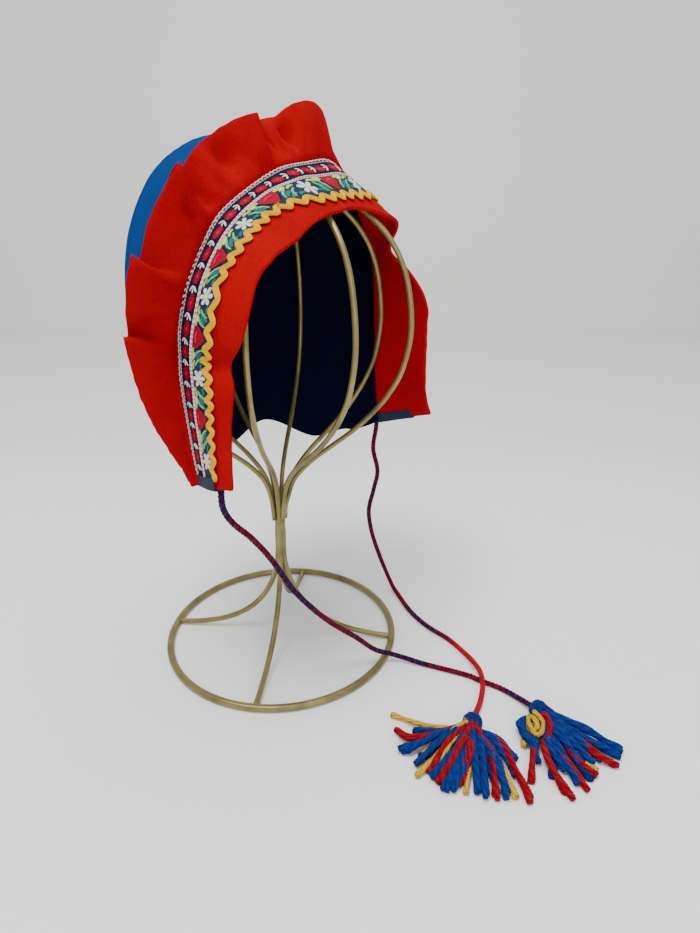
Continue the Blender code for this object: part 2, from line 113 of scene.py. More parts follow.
def pathFrames(points):
    # two directions across the path at each point, carried along it without turning
    last = len(points) - 1
    ways = [(points[min(k + 1, last)] - points[max(k - 1, 0)]).normalized() for k in range(last + 1)]
    side = ways[0].orthogonal().normalized()
    frames = []
    for way in ways:
        side = (side - way * side.dot(way)).normalized()
        frames.append((side, way.cross(side)))
    return frames


def addTube(mesh, points, radiusAt, sides, slot=0, twist=0.0):
    # a closed tube through the points; radiusAt(share, angle) is its radius, and the UV is (length, turn)
    uv = mesh.loops.layers.uv.verify()
    rings = len(points) - 1
    frames = pathFrames(points)
    length = pathLength(points)
    made = bmesh.ops.create_grid(mesh, x_segments=rings, y_segments=sides, size=0.5)["verts"]
    faces = {face for vert in made for face in vert.link_faces}
    for face in faces:
        face.material_index = slot
        face.smooth = True
        for loop in face.loops:
            loop[uv].uv = ((loop.vert.co.x + 0.5) * length, loop.vert.co.y + 0.5)
    for vert in made:
        share, turn = vert.co.x + 0.5, vert.co.y + 0.5
        k = min(round(share * rings), rings)
        angle = turn * math.tau
        radius = radiusAt(share, angle)
        angle += twist * share * length
        side, other = frames[k]
        vert.co = points[k] + (side * math.cos(angle) + other * math.sin(angle)) * radius
    bmesh.ops.remove_doubles(mesh, verts=made, dist=1e-6)
    edges = {edge for face in faces if face.is_valid for edge in face.edges}
    caps = bmesh.ops.holes_fill(mesh, edges=[edge for edge in edges if edge.is_boundary], sides=0)["faces"]
    for cap in caps:
        cap.material_index = slot
    bmesh.ops.recalc_face_normals(mesh, faces=[face for face in faces if face.is_valid] + caps)


def newMesh():
    mesh = bmesh.new()
    mesh.loops.layers.uv.new("cloth")
    return mesh


def finishPiece(name, mesh, materials, replaced=(), smooth=True):
    data = bpy.data.meshes.new(name)
    mesh.to_mesh(data)
    mesh.free()
    for finish in materials:
        data.materials.append(finish)
    if smooth:
        data.shade_smooth()
    piece = bpy.data.objects.new(name, data)
    bpy.context.scene.collection.objects.link(piece)
    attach(piece, "root")
    if replaced:
        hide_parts(*replaced)
    return piece


# Shader groups

def addNode(tree, kind, inputs=None, **settings):
    node = tree.nodes.new("ShaderNode" + kind)
    for key, value in settings.items():
        setattr(node, key, value)
    for key, value in (inputs or {}).items():
        if isinstance(value, bpy.types.NodeSocket):
            tree.links.new(value, node.inputs[key])
        else:
            node.inputs[key].default_value = value
    return node


def mixColours(tree, factor, a, b):
    return addNode(tree, "Mix", {0: factor, 6: a, 7: b}, data_type="RGBA").outputs[2]


def calculated(tree, operation, *values):
    return addNode(tree, "Math", dict(enumerate(values)), operation=operation).outputs[0]


def ranged(tree, value, low=0.0, high=1.0, toLow=0.0, toHigh=1.0):
    return addNode(tree, "MapRange", {0: value, 1: low, 2: high, 3: toLow, 4: toHigh}).outputs[0]


def noiseOf(tree, scale, detail=2.0, **more):
    where = addNode(tree, "TexCoord").outputs["Object"]
    return addNode(tree, "TexNoise", {"Vector": where, "Scale": scale, "Detail": detail, **more}).outputs[0]


def clothUv(tree):
    return addNode(tree, "SeparateXYZ", {0: addNode(tree, "UVMap", uv_map="cloth").outputs[0]}).outputs[:2]


def newGroup(name, inputs):
    # every group gives a colour, a roughness and a height for the bump
    group = bpy.data.node_groups.new(name, "ShaderNodeTree")
    for socket, value in inputs.items():
        kind = "NodeSocketColor" if isinstance(value, tuple) else "NodeSocketFloat"
        group.interface.new_socket(name=socket, in_out="INPUT", socket_type=kind).default_value = value
    for socket, kind in (("Colour", "Color"), ("Roughness", "Float"), ("Height", "Float")):
        group.interface.new_socket(name=socket, in_out="OUTPUT", socket_type="NodeSocket" + kind)
    return group, group.nodes.new("NodeGroupInput").outputs


def closeGroup(group, *results):
    for socket, result in zip(group.nodes.new("NodeGroupOutput").inputs, results):
        group.links.new(result, socket)
    return group


def woolGroup():
    # fulled wool: clouded colour, matted fibres, hairs in the plain colour
    group, given = newGroup("fulledWool", {"Colour": (0.5, 0.01, 0.01, 1), "Shade": (0.2, 0.0, 0.0, 1)})
    clouds = noiseOf(group, 38.0, 4.0, Roughness=0.6)
    fibres = noiseOf(group, 900.0, 3.0, Roughness=0.7)
    hairs = noiseOf(group, 2600.0, Distortion=1.5)
    clouded = mixColours(group, ranged(group, clouds, 0.34, 0.68, 0.0, 0.42), given["Colour"], given["Shade"])
    matted = mixColours(group, ranged(group, fibres, 0.35, 0.7, 0.0, 0.35), clouded, given["Shade"])
    haired = mixColours(group, ranged(group, hairs, 0.55, 0.75, 0.0, 0.3), matted, given["Colour"])
    roughness = ranged(group, fibres, toLow=0.82, toHigh=0.98)
    return closeGroup(group, haired, roughness, calculated(group, "ADD", fibres, hairs))


def weaveGroup():
    # fine woven threads in the piece's own UV, which is in metres
    group, given = newGroup("fineWeave", {"Colour": (0.1, 0.1, 0.1, 1), "Thread": 0.0007, "Depth": 0.35})
    waves = []
    for way, phase in zip(clothUv(group), (0.0, math.pi / 2)):
        turns = calculated(group, "DIVIDE", way, given["Thread"])
        waves.append(calculated(group, "SINE", calculated(group, "MULTIPLY_ADD", turns, math.tau, phase)))
    over = ranged(group, calculated(group, "MULTIPLY", *waves), -1.0, 1.0)
    slub = noiseOf(group, 260.0, 3.0)
    # painted shade: the thread pattern darkens the colour towards black, standing in for shade in the weave's
    # hollows
    shade = calculated(group, "MULTIPLY", calculated(group, "MULTIPLY", over, slub), given["Depth"])
    shaded = mixColours(group, shade, given["Colour"], (0.0, 0.0, 0.0, 1))
    return closeGroup(group, shaded, ranged(group, slub, toLow=0.62, toHigh=0.85), over)


def yarnGroup():
    # spun wool: fibres wound at a slant round the strand, in the UV (length in metres, turn)
    group, given = newGroup("spunYarn", {"Colour": (0.0, 0.05, 0.4, 1), "PlyGrooveShade": (0.0, 0.02, 0.2, 1),
                                         "Pitch": 0.005})
    along, turn = clothUv(group)
    slanted = calculated(group, "ADD", calculated(group, "DIVIDE", along, given["Pitch"]), turn)
    angle = calculated(group, "MULTIPLY", slanted, 3 * math.tau)
    ply = calculated(group, "SINE", angle)
    fine = calculated(group, "SINE", calculated(group, "MULTIPLY", angle, 4.0))
    fuzz = noiseOf(group, 1100.0, 3.0)
    # painted shade: where the ply sinks, the colour is mixed towards the darker second tone, standing in for
    # shade in the grooves between the fibres
    plied = mixColours(group, ranged(group, ply, -1.0, 1.0, 0.75, 0.0), given["Colour"], given["PlyGrooveShade"])
    fuzzed = mixColours(group, ranged(group, fuzz, 0.45, 0.75, 0.0, 0.4), plied, given["Colour"])
    height = calculated(group, "MULTIPLY_ADD", fuzz, 1.2, calculated(group, "MULTIPLY_ADD", fine, 0.3, ply))
    return closeGroup(group, fuzzed, ranged(group, fuzz, toLow=0.8, toHigh=0.98), height)


groups = {"wool": woolGroup(), "weave": weaveGroup(), "yarn": yarnGroup()}
print("shader groups made")


def newMaterial(name):
    made = bpy.data.materials.new(name)
    made.use_nodes = True
    return made, made.node_tree, made.node_tree.nodes["Principled BSDF"]


def addGroup(tree, kind, values):
    node = tree.nodes.new("ShaderNodeGroup")
    node.node_tree = groups[kind]
    for key, value in values.items():
        node.inputs[key].default_value = value
    return node.outputs


def addBump(tree, shader, height, strength, distance):
    bump = addNode(tree, "Bump", {"Height": height, "Strength": strength, "Distance": distance})
    tree.links.new(bump.outputs[0], shader.inputs["Normal"])


def groupMaterial(name, kind, values, bumpDistance, bumpStrength=0.6, sheen=0.0, sheenTint=(1, 1, 1, 1),
                  specular=0.25):
    made, tree, shader = newMaterial(name)
    given = addGroup(tree, kind, values)
    tree.links.new(given["Colour"], shader.inputs["Base Color"])
    tree.links.new(given["Roughness"], shader.inputs["Roughness"])
    addBump(tree, shader, given["Height"], bumpStrength, bumpDistance)
    shader.inputs["Sheen Weight"].default_value = sheen
    shader.inputs["Sheen Roughness"].default_value = 0.45
    shader.inputs["Sheen Tint"].default_value = sheenTint
    shader.inputs["Specular IOR Level"].default_value = specular
    return made


finishes = {
    "redWool": groupMaterial("redWool", "wool", {"Colour": (0.42, 0.0, 0.004, 1),
                                                 "Shade": (0.24, 0.0, 0.003, 1)},
                             0.0006, sheen=0.05, sheenTint=(1.0, 0.05, 0.05, 1), specular=0.04),
    "blueWool": groupMaterial("blueWool", "wool", {"Colour": (0.0, 0.048, 0.22, 1),
                                                   "Shade": (0.0, 0.025, 0.12, 1)},
                              0.0006, sheen=0.03, sheenTint=(0.1, 0.4, 1.0, 1), specular=0.05),
    "navyLining": groupMaterial("navyLining", "wool", {"Colour": (0.0015, 0.0025, 0.02, 1),
                                                       "Shade": (0.001, 0.001, 0.006, 1)},
                                0.0002, 0.3, specular=0.05),
    "ricRac": groupMaterial("ricRac", "weave", {"Colour": (0.78, 0.42, 0.0, 1), "Thread": 0.0008,
                                                "Depth": 0.22},
                            0.0003, specular=0.05),
    "navyTape": groupMaterial("navyTape", "weave", {"Colour": (0.014, 0.021, 0.055, 1), "Thread": 0.0009},
                              0.0003),
}
# ribbons and their motifs: colour, how dark the painted shade in the weave's hollows is, specular
ribbonTones = {
    "navyGround": ((0.006, 0.005, 0.026, 1), 0.35, 0.1),
    "tealGround": ((0.01, 0.035, 0.062, 1), 0.35, 0.1),
    "crimson": ((0.34, 0.002, 0.022, 1), 0.35, 0.1),
    "white": ((0.78, 0.76, 0.74, 1), 0.5, 0.25),
    "pink": ((0.75, 0.42, 0.42, 1), 0.35, 0.25),
    "green": ((0.03, 0.24, 0.12, 1), 0.35, 0.25),
    "teal": ((0.015, 0.14, 0.18, 1), 0.35, 0.25),
    "limeGreen": ((0.5, 0.6, 0.1, 1), 0.35, 0.25),
    "paleYellow": ((0.85, 0.8, 0.35, 1), 0.35, 0.25),
    "lightGreen": ((0.16, 0.5, 0.22, 1), 0.35, 0.25),
    "brightRed": ((0.6, 0.02, 0.04, 1), 0.35, 0.25),
}
for name, (tone, depth, specular) in ribbonTones.items():
    finishes[name] = groupMaterial(name, "weave", {"Colour": tone, "Depth": depth}, 0.0002, specular=specular)
# the tassels' yarns: colour, darker tone painted as shade in the grooves, the bump's distance and strength,
# sheen, specular
yarnTones = {
    "blue": ((0.0, 0.038, 0.28, 1), (0.0, 0.01, 0.11, 1), 0.0006, 0.9, 0.05, 0.08),
    "red": ((0.42, 0.0, 0.008, 1), (0.17, 0.0, 0.006, 1), 0.0006, 0.9, 0.05, 0.08),
    "ochre": ((0.85, 0.52, 0.04, 1), (0.5, 0.28, 0.02, 1), 0.0006, 0.9, 0.05, 0.08),
    "navy": ((0.0, 0.018, 0.17, 1), (0.0, 0.006, 0.08, 1), 0.0005, 0.9, 0.0, 0.25),
    "pink": ((0.8, 0.5, 0.5, 1), (0.6, 0.3, 0.3, 1), 0.0004, 0.7, 0.0, 0.25),
}
for name, (first, plyGrooveShade, distance, strength, sheen, specular) in yarnTones.items():
    finishes[name + "Yarn"] = groupMaterial(name + "Yarn", "yarn", {"Colour": first, "PlyGrooveShade": plyGrooveShade},
                                            distance, strength, sheen=sheen, specular=specular)


# Cords

cords = {
    "diameter": 4.0,
    "step": 0.7,
    "sides": 12,
    "pitch": 5.6,          # of the two-ply twist
    "groove": 0.2,         # share of the radius lost between the plies
    "headStart": {"left": 3.2, "right": 7.0},      # from the end of the route to the tassel's head
    "left": [(-17, -104.6, 176), (-17, -104.3, 163), (-13, -100, 151), (-4, -94, 138), (5, -88, 122),
             (12, -83, 106), (19, -78, 90), (30, -70, 71), (43, -61, 52), (60, -49, 31), (74, -42.5, 15),
             (86, -38.8, 8), (97, -39.3, 4.7), (110, -43, 2.5), (126, -49, 2.2), (143, -56, 2.2),
             (152, -62, 2.2), (165, -70, 2.2), (175, -80.5, 3), (180, -88, 4.5)],
    "right": [(77.5, 55.5, 167.2), (77, 57, 158), (75, 57, 141), (79, 59, 120), (76, 58, 103), (72, 56, 84),
              (75, 57, 62), (82, 60, 38), (89, 63, 18), (95, 60, 5), (100, 49, 2.2), (104, 36, 2.2),
              (109, 23, 2.2), (116, 10, 2.2), (124, -1, 2.2), (135, -13, 2.2), (145, -30, 2.4), (150, -46, 5.2),
              (152, -60, 7.2), (151, -72, 5.4), (147, -84, 3.2), (142, -95, 4.5)],
    "redFrom": {"left": 2.0, "right": 0.73},       # share of the length after which the cord is all red
    # patches of more red or more navy yarn: share of the length, share of red
    "leftPatches": [(0.0, 0.1), (0.06, 0.15), (0.09, 0.75), (0.19, 0.7), (0.22, 0.2), (0.36, 0.15), (0.4, 0.8),
                    (0.5, 0.75), (0.53, 0.3), (0.57, 0.75), (0.62, 0.2), (0.74, 0.15), (0.77, 0.75),
                    (0.92, 0.7), (0.94, 0.15)],
    "rightPatches": [(0.0, 0.5), (0.1, 0.6), (0.2, 0.3), (0.3, 0.6), (0.42, 0.65), (0.46, 1.0), (0.56, 1.0),
                     (0.58, 0.3), (0.68, 0.25), (0.72, 0.9)],
}


def cordMaterial(name, side, length):
    # navy and red plies by the turn, mixed in patches, and all red near one cord's end
    made, tree, shader = newMaterial(name)
    along, turn = clothUv(tree)
    # each yarn's darker second tone is painted shade in its grooves
    blues = addGroup(tree, "yarn", {"Colour": (0.01, 0.005, 0.065, 1), "PlyGrooveShade": (0.015, 0.001, 0.025, 1)})
    reds = addGroup(tree, "yarn", {"Colour": (0.24, 0.0, 0.01, 1), "PlyGrooveShade": (0.07, 0.0, 0.01, 1)})
    ramp = addNode(tree, "ValToRGB", {0: calculated(tree, "DIVIDE", along, length)})
    patches = cords[side + "Patches"]
    stops = ramp.color_ramp.elements
    while len(stops) < len(patches):
        stops.new(0.5)
    for stop, (share, amount) in zip(stops, patches):
        stop.position = share
        stop.color = (amount, amount, amount, 1)
    turned = calculated(tree, "ADD", turn, ranged(tree, ramp.outputs[0], toLow=-0.42, toHigh=0.5))
    plied = mixColours(tree, ranged(tree, turned, 0.48, 0.56), blues["Colour"], reds["Colour"])
    redFrom = cords["redFrom"][side] * length
    allRed = ranged(tree, along, redFrom, redFrom + 0.008)
    tree.links.new(mixColours(tree, allRed, plied, (0.42, 0.0, 0.01, 1)), shader.inputs["Base Color"])
    tree.links.new(blues["Roughness"], shader.inputs["Roughness"])
    addBump(tree, shader, blues["Height"], 0.9, 0.0005)
    shader.inputs["Sheen Weight"].default_value = 0.04
    shader.inputs["Specular IOR Level"].default_value = 0.1
    return made


def makeCord(side):
    stops = [Vector(stop) for stop in cords[side]]
    stops.append(stops[-1] + (stops[-1] - stops[-2]).normalized() * cords["headStart"][side])
    points = [toPart(point) for point in evenPoints(stops, cords["step"])]
    length = pathLength(points)
    radius = cords["diameter"] / 2 * mm

    def radiusAt(share, angle):
        return radius * (1 - cords["groove"] * (1 - abs(math.cos(angle))) ** 2)

    mesh = newMesh()
    addTube(mesh, points, radiusAt, cords["sides"], twist=math.tau / (cords["pitch"] * mm))
    finish = cordMaterial("cordYarn" + side.capitalize(), side, length)
    piece = finishPiece("cord" + side.capitalize(), mesh, [finish], ["cord_" + side])
    return piece, points, length


cordPieces = {side: makeCord(side) for side in ("left", "right")}
print("cords made")


# Tassels: strands as (colour, points after the head), seen from above

tassels = {
    "strandRadius": 2.05,
    "step": 1.6,
    "sides": 8,
    "headLength": 11.0,
    "headRadius": 6.2,
    "headHeight": 5.8,
    "headRings": 14,
    "boundYarn": 0.62,       # radius of the yarn wound round the head
    "boundTurns": 6,
    "boundFrom": 0.42,       # share of the head's length, and the step to the next turn
    "boundStep": 0.1,
    "strandPitch": 6.5,
    "neckRadius": 5.0,       # the yarns leave the head within this, and this far to its sides
    "neckSide": 4.8,
    "jitter": (0.4, 2.4),    # of a row's first yarn and of its copies
    "copies": {"blue": 3, "red": 2, "navy": 2, "ochre": 1, "pink": 1},     # strands laid along each row
    "tableTop": 0.3,         # height of the lowest yarn over the table
    "left": [
        ("blue", (209, -112, 6), (229, -127, 2)), ("blue", (204, -119, 7), (226, -131, 2)),
        ("red", (199, -115, 6), (207, -130, 6), (222, -138, 2)), ("blue", (195, -124, 9), (206, -137, 2.5)),
        ("red", (194, -130, 6), (206, -145, 2)), ("ochre", (196, -130, 4), (208, -141, 2)),
        ("red", (186, -130, 7), (191, -143, 5), (197, -155, 2)), ("blue", (185, -130, 8), (193, -151, 2.5)),
        ("red", (178, -136, 7), (186, -161, 2)), ("red", (180, -134, 5), (182, -157, 2)),
        ("blue", (181, -128, 8), (187, -141, 3)), ("red", (171, -128, 5), (165, -150, 2)),
        ("blue", (174, -122, 6), (172, -136, 2.5)), ("ochre", (172, -112, 5), (167, -123, 2)),
        ("blue", (199, -118, 9), (213, -134, 2.5)), ("blue", (190, -122, 10), (199, -139, 3)),
        ("blue", (203, -112, 4), (219, -126, 2)), ("navy", (184, -126, 4), (178, -146, 2)),
        ("navy", (192, -126, 4), (201, -147, 2)),
        ("ochre", (179, -102, 10.5), (181.5, -110, 11.5), (179, -119, 11), (174.5, -120, 10.5),
         (172.5, -112, 10.5), (175, -104, 10), (177.5, -110, 11), (176.5, -117, 10.5)),
        ("red", (184, -105, 10), (185.5, -114, 10.5), (181, -123, 8)),
        ("blue", (170, -105, 6), (168.5, -117, 7), (174, -127, 5)),
    ],
    "right": [
        ("ochre", (125, -111, 6), (104, -107, 5), (84, -95, 2)), ("blue", (121, -113, 5), (97, -110, 2)),
        ("red", (118, -115, 7), (97, -118, 5), (86, -108, 2)),
        ("blue", (113, -119, 8), (101, -123, 6), (88, -127, 2.5)),
        ("ochre", (116, -118, 6), (100, -130, 2)), ("blue", (114, -123, 8), (96, -137, 2.5)),
        ("ochre", (115, -127, 5), (96, -145, 2)), ("red", (117, -126, 8), (103, -143, 2)),
        ("ochre", (120, -125, 8), (109, -138, 2)), ("blue", (121, -130, 7), (105, -147, 2.5)),
        ("red", (124, -130, 9), (108, -150, 2)), ("blue", (124, -134, 6), (110, -155, 2.5)),
        ("blue", (127, -136, 7), (116, -156, 2.5)), ("red", (130, -129, 9), (120, -152, 2)),
        ("ochre", (129, -138, 5), (124, -157, 2)), ("blue", (133, -134, 8), (130, -158, 2.5)),
        ("blue", (137, -134, 9), (136, -159, 2.5)), ("red", (143, -134, 8), (141, -162, 2)),
        ("blue", (145, -134, 8), (147, -161, 2.5)), ("ochre", (149, -142, 5), (153, -160, 2)),
        ("red", (149, -125, 8), (156, -146, 6), (160, -164, 2)), ("blue", (148, -124, 8), (157, -146, 2.5)),
        ("blue", (148, -120, 6), (160, -133, 2)), ("navy", (140, -132, 5), (143, -157, 2)),
        ("navy", (128, -132, 4), (114, -150, 2)), ("navy", (119, -124, 4), (99, -133, 2)),
        ("pink", (146, -121, 8), (155, -138, 4)),
    ],
}
yarnColours = list(yarnTones)


def makeTassel(side, seed):
    draw = random.Random(seed)
    route = [Vector(stop) for stop in cords[side]]
    way = route[-1] - route[-2]
    way.z = 0
    way.normalize()
    beside = Vector((-way.y, way.x, 0))
    top = route[-1] + way * cords["headStart"][side]
    top.z = tassels["headHeight"]
    neck = top + way * (tassels["headLength"] - 1)
    mesh = newMesh()
    spread = tassels["headRadius"]

    # the head: yarns folded over the cord's end and bound round, lying on the table
    headPoints = [toPart(top.lerp(neck, k / tassels["headRings"])) for k in range(tassels["headRings"] + 1)]

    def headRadiusAt(share, angle):
        knob = min(math.sin(math.pi / 2 * min((share + 0.1) / 0.22, 1)) ** 0.5, 1)
        knob *= 0.9 + 0.1 * math.sin(math.pi * min(share / 0.7, 1)) - 0.14 * max(share - 0.6, 0) / 0.4
        lobes = 1 - 0.1 * (1 - abs(math.sin(angle * 5 + share * 3)))
        return max(spread * knob * lobes, 1.2) * mm

    addTube(mesh, headPoints, headRadiusAt, 56, 0)
    for turn in range(tassels["boundTurns"]):
        centre = top.lerp(neck, tassels["boundFrom"] + turn * tassels["boundStep"])
        ringRadius = spread * (0.98 - 0.02 * turn)
        ring = [toPart(centre + beside * math.cos(angle) * ringRadius + way * (angle / 2 / math.pi * 1.1 - 0.5)
                       + Vector((0, 0, math.sin(angle) * ringRadius)))
                for angle in (math.tau * k / 28 for k in range(29))]
        addTube(mesh, ring, lambda share, angle: tassels["boundYarn"] * mm, 8, 0)

    for colour, *stops in tassels[side]:
        for copy in range(tassels["copies"][colour]):
            aim = (Vector(stops[0]) - neck).normalized()
            widest = tassels["neckSide"]
            sideShift = max(min(beside.dot(aim) * 6.5 + draw.uniform(-1.2, 1.2), widest), -widest)
            rise = math.sqrt(max(tassels["neckRadius"] ** 2 - sideShift ** 2, 0)) * draw.uniform(-0.8, 0.95)
            start = neck - way * 3 + beside * sideShift + Vector((0, 0, rise))
            points = [start, start + way * 4 + beside * sideShift * 0.12]
            for number, stop in enumerate(stops):
                last = number == len(stops) - 1
                jitter = tassels["jitter"][1 if copy else 0]
                point = Vector(stop) + Vector((draw.uniform(-jitter, jitter), draw.uniform(-jitter, jitter), 0))
                if copy and last:
                    point = point.lerp(Vector(stops[0]), draw.uniform(0.0, 0.12))
                point.z = max(point.z + draw.uniform(-0.4, 0.8) + (0.9 if copy and not last else 0), 2.0)
                points.append(point)
            path = [toPart(p) for p in evenPoints(points, tassels["step"])]
            wobble = draw.uniform(0, 6)
            size = tassels["strandRadius"] * draw.uniform(0.85, 1.1) * (0.5 if colour == "pink" else 1)

            def radiusAt(share, angle):
                plies = 1 - 0.2 * (1 - abs(math.cos(angle * 1.5)))
                frayed = 1 + 0.13 * math.sin(share * 17 + wobble) + 0.25 * max(share - 0.8, 0) / 0.2
                return size * plies * frayed * mm * (0.8 if share > 0.985 else 1)

            addTube(mesh, path, radiusAt, tassels["sides"], yarnColours.index(colour),
                    twist=math.tau / (tassels["strandPitch"] * mm))
    lowest = min(vert.co.z for vert in mesh.verts)
    tableTop = tassels["tableTop"] * mm
    for vert in mesh.verts:      # what would dip into the table lies flattened on it
        if vert.co.z < tableTop:
            vert.co.z = tableTop + (vert.co.z - lowest) * 0.02
    yarns = [finishes[colour + "Yarn"] for colour in yarnColours]
    return finishPiece("tassel" + side.capitalize(), mesh, yarns, ["tassel_" + side])


tasselPieces = {"left": makeTassel("left", 3), "right": makeTassel("right", 8)}
print("tassels made")


# Wire stand

stand = {
    "ringRadius": 90.0,
    "ringWire": 5.4,
    "wire": 3.6,
    "legWire": 4.3,
    "stemRadius": 2.2,
    "weldRadius": 4.4,
    "topBall": 5.5,
    # ribs as (azimuth, reach, azimuth of the leg below it)
    "ribs": [(-3, 1.00, -6.5), (36, 1.00, None), (84.5, 1.00, 83.5), (122, 0.95, None), (173, 0.96, 173.5),
             (218, 0.96, None), (251, 0.96, 263.5), (292, 0.96, None)],
    # profiles as (radius, height)
    "leg": [(90, 2.6), (72, 4.1), (50, 9), (31, 18.5), (17, 32), (8, 48), (3.6, 63)],
    "stem": [76, 92, 104],
    "balloon": [(6.5, 122), (12, 138), (24, 152), (40, 165), (55, 177), (68, 190), (79, 204), (88, 222),
                (92.5, 250), (87, 284), (73, 309), (48, 329), (20, 338.5), (3, 340.5)],
}


def leaning(azimuth, radius, height):
    angle = math.radians(azimuth)
    return Vector((math.sin(angle) * radius + place["standLean"] * height, -math.cos(angle) * radius, height))


def lacquerMaterial():
    # satin old-gold lacquer on steel, a little rubbed and dulled
    made, tree, shader = newMaterial("goldLacquer")
    dulled, speckle = noiseOf(tree, 45.0, 5.0), noiseOf(tree, 700.0)
    coat = mixColours(tree, ranged(tree, dulled, 0.4, 0.7), (0.28, 0.23, 0.08, 1), (0.15, 0.125, 0.045, 1))
    specks = ranged(tree, speckle, 0.66, 0.74, 0.0, 0.5)
    tree.links.new(mixColours(tree, specks, coat, (0.07, 0.055, 0.022, 1)), shader.inputs["Base Color"])
    tree.links.new(ranged(tree, dulled, 0.3, 0.75, 0.3, 0.52), shader.inputs["Roughness"])
    shader.inputs["Metallic"].default_value = 0.55
    addBump(tree, shader, speckle, 0.15, 0.0002)
    return made


def makeStand():
    mesh = newMesh()
    for azimuth, reach, legAzimuth in stand["ribs"]:
        foot = stand["stemRadius"] if legAzimuth is not None else stand["weldRadius"]
        rib = [leaning(azimuth, foot, stand["stem"][-1])]
        rib += [leaning(azimuth, max(radius * reach, foot), height) for radius, height in stand["balloon"]]
        points = rib
        if legAzimuth is not None:
            points = [leaning(legAzimuth, radius, height) for radius, height in stand["leg"]]
            points += [leaning(legAzimuth, foot, height) for height in stand["stem"][:-1]] + rib
        path = [toPart(point) for point in evenPoints(points, 4.0)]
        legShare = 0 if legAzimuth is None else 1 - pathLength(rib) / pathLength(points)

        def wireAt(share, angle):
            thick = stand["legWire"] if share < legShare else stand["wire"]
            return thick / 2 * mm

        addTube(mesh, path, wireAt, 14)
    # base ring
    profile = bmesh.ops.create_circle(mesh, segments=16, radius=stand["ringWire"] / 2 * mm)["verts"]
    bmesh.ops.rotate(mesh, verts=profile, cent=(0, 0, 0), matrix=Matrix.Rotation(math.pi / 2, 3, "X"))
    middle = toPart((0, 0, stand["ringWire"] / 2))
    bmesh.ops.translate(mesh, verts=profile, vec=middle + Vector((stand["ringRadius"] * mm, 0, 0)))
    edges = list({edge for vert in profile for edge in vert.link_edges})
    bmesh.ops.spin(mesh, geom=profile + edges, cent=middle, axis=(0, 0, 1), angle=math.tau, steps=120,
                   use_merge=True, use_duplicate=False)
    # ball where the ribs meet, under the crown
    ball = bmesh.ops.create_uvsphere(mesh, u_segments=20, v_segments=12, radius=stand["topBall"] * mm)["verts"]
    bmesh.ops.translate(mesh, verts=ball, vec=toPart(leaning(0, 0, stand["balloon"][-1][1])))
    bmesh.ops.recalc_face_normals(mesh, faces=mesh.faces)
    return finishPiece("wireStand", mesh, [lacquerMaterial()], ["wire_stand"])


standPiece = makeStand()
print("stand made")


# The hat's base surfaces

hat = {
    # a row for each section of the face opening: seam (u, v, z), then face edge (u, v, z)
    "sections": [
        (17, -89, 168.8, 60, -103, 179.7), (13, -90, 204, 58, -99, 214), (13, -92, 230, 59, -96, 234),
        (15, -92, 247, 52, -90, 245), (17, -92, 260, 62, -93, 255), (20, -91, 272, 68, -91, 271),
        (23, -89, 283, 69, -84, 288), (27, -80, 302, 71, -72, 299), (28, -67, 318, 68, -52, 306),
        (31, -46, 332, 67, -35, 315), (31, -25, 341, 67, -14, 320), (31, -1, 346, 65, 3, 322),
        (32, 18, 348.5, 64, 19, 321), (30, 36, 341.5, 61, 38, 319), (24, 64, 321, 55, 66, 314),
        (20, 84, 296, 45, 73, 297), (21, 88, 277, 57.8, 80.8, 281.5), (22, 88, 254, 68.5, 86.5, 262),
        (23, 88, 228, 69, 88, 236), (24, 88, 192, 70, 88, 198), (27, 87, 165, 76, 87, 179.5)],
    "crownRadius": 93.0,
    "domeBase": 248.0,
    "domeRise": 116.0,
    "domePower": 2.65,
    "seamFall": 1.5,
    # the neck edge as (azimuth, height, radius)
    "neck": [(90, 154, 86), (109, 148, 72), (143, 164, 66), (172, 149, 65), (197, 150, 65), (222, 163, 64),
             (250, 150, 67), (270, 168, 83)],
    "neckSwell": 1.15,
    "bandBulge": 2.5,
    "bulgeBase": 240.0,
    "crownCloth": 1.8,
    "liningCloth": 1.0,
    "bandCloth": 2.4,
    "bandLift": -1.0,
    "frontShare": 0.22,       # of the crown's depth that lies in front of the stand's axis
}
seamPoints = [Vector(row[:3]) for row in hat["sections"]]
edgePoints = [Vector(row[3:]) for row in hat["sections"]]
seamSteps = 12      # between two sections
seamFine = [smoothCurve(seamPoints, k / seamSteps) for k in range(seamSteps * (len(seamPoints) - 1) + 1)]
seamRun = [0.0]
for before, after in zip(seamFine, seamFine[1:]):
    seamRun.append(seamRun[-1] + (after - before).length)
seamLength = seamRun[-1]


def archAt(share):
    wanted = seamLength * share
    at = min(max(bisect_right(seamRun, wanted) - 1, 0), len(seamRun) - 2)
    along = (at + (wanted - seamRun[at]) / (seamRun[at + 1] - seamRun[at])) / seamSteps
    return smoothCurve(seamPoints, along), smoothCurve(edgePoints, along)


def domeRows(samples=96):
    # the crown's round profile from its widest place to the top: radius, height, run along it
    rows = [(hat["crownRadius"], hat["domeBase"], 0.0)]
    power = 2 / hat["domePower"]
    for k in range(1, samples + 1):
        angle = math.pi / 2 * k / samples
        radius = hat["crownRadius"] * max(math.cos(angle), 0) ** power if k < samples else 0.0
        height = hat["domeBase"] + hat["domeRise"] * math.sin(angle) ** power
        rows.append((radius, height, rows[-1][2] + math.hypot(radius - rows[-1][0], height - rows[-1][1])))
    return rows


dome = domeRows()
domeRuns = [row[2] for row in dome]


def eased(rows, at):
    # the rest of a table's row, eased from each row to the next
    for low, high in zip(rows, rows[1:]):
        if at <= high[0]:
            share = (at - low[0]) / (high[0] - low[0])
            share = share * share * (3 - 2 * share)
            return [a + (b - a) * share for a, b in zip(low[1:], high[1:])]
    return list(rows[-1][1:])


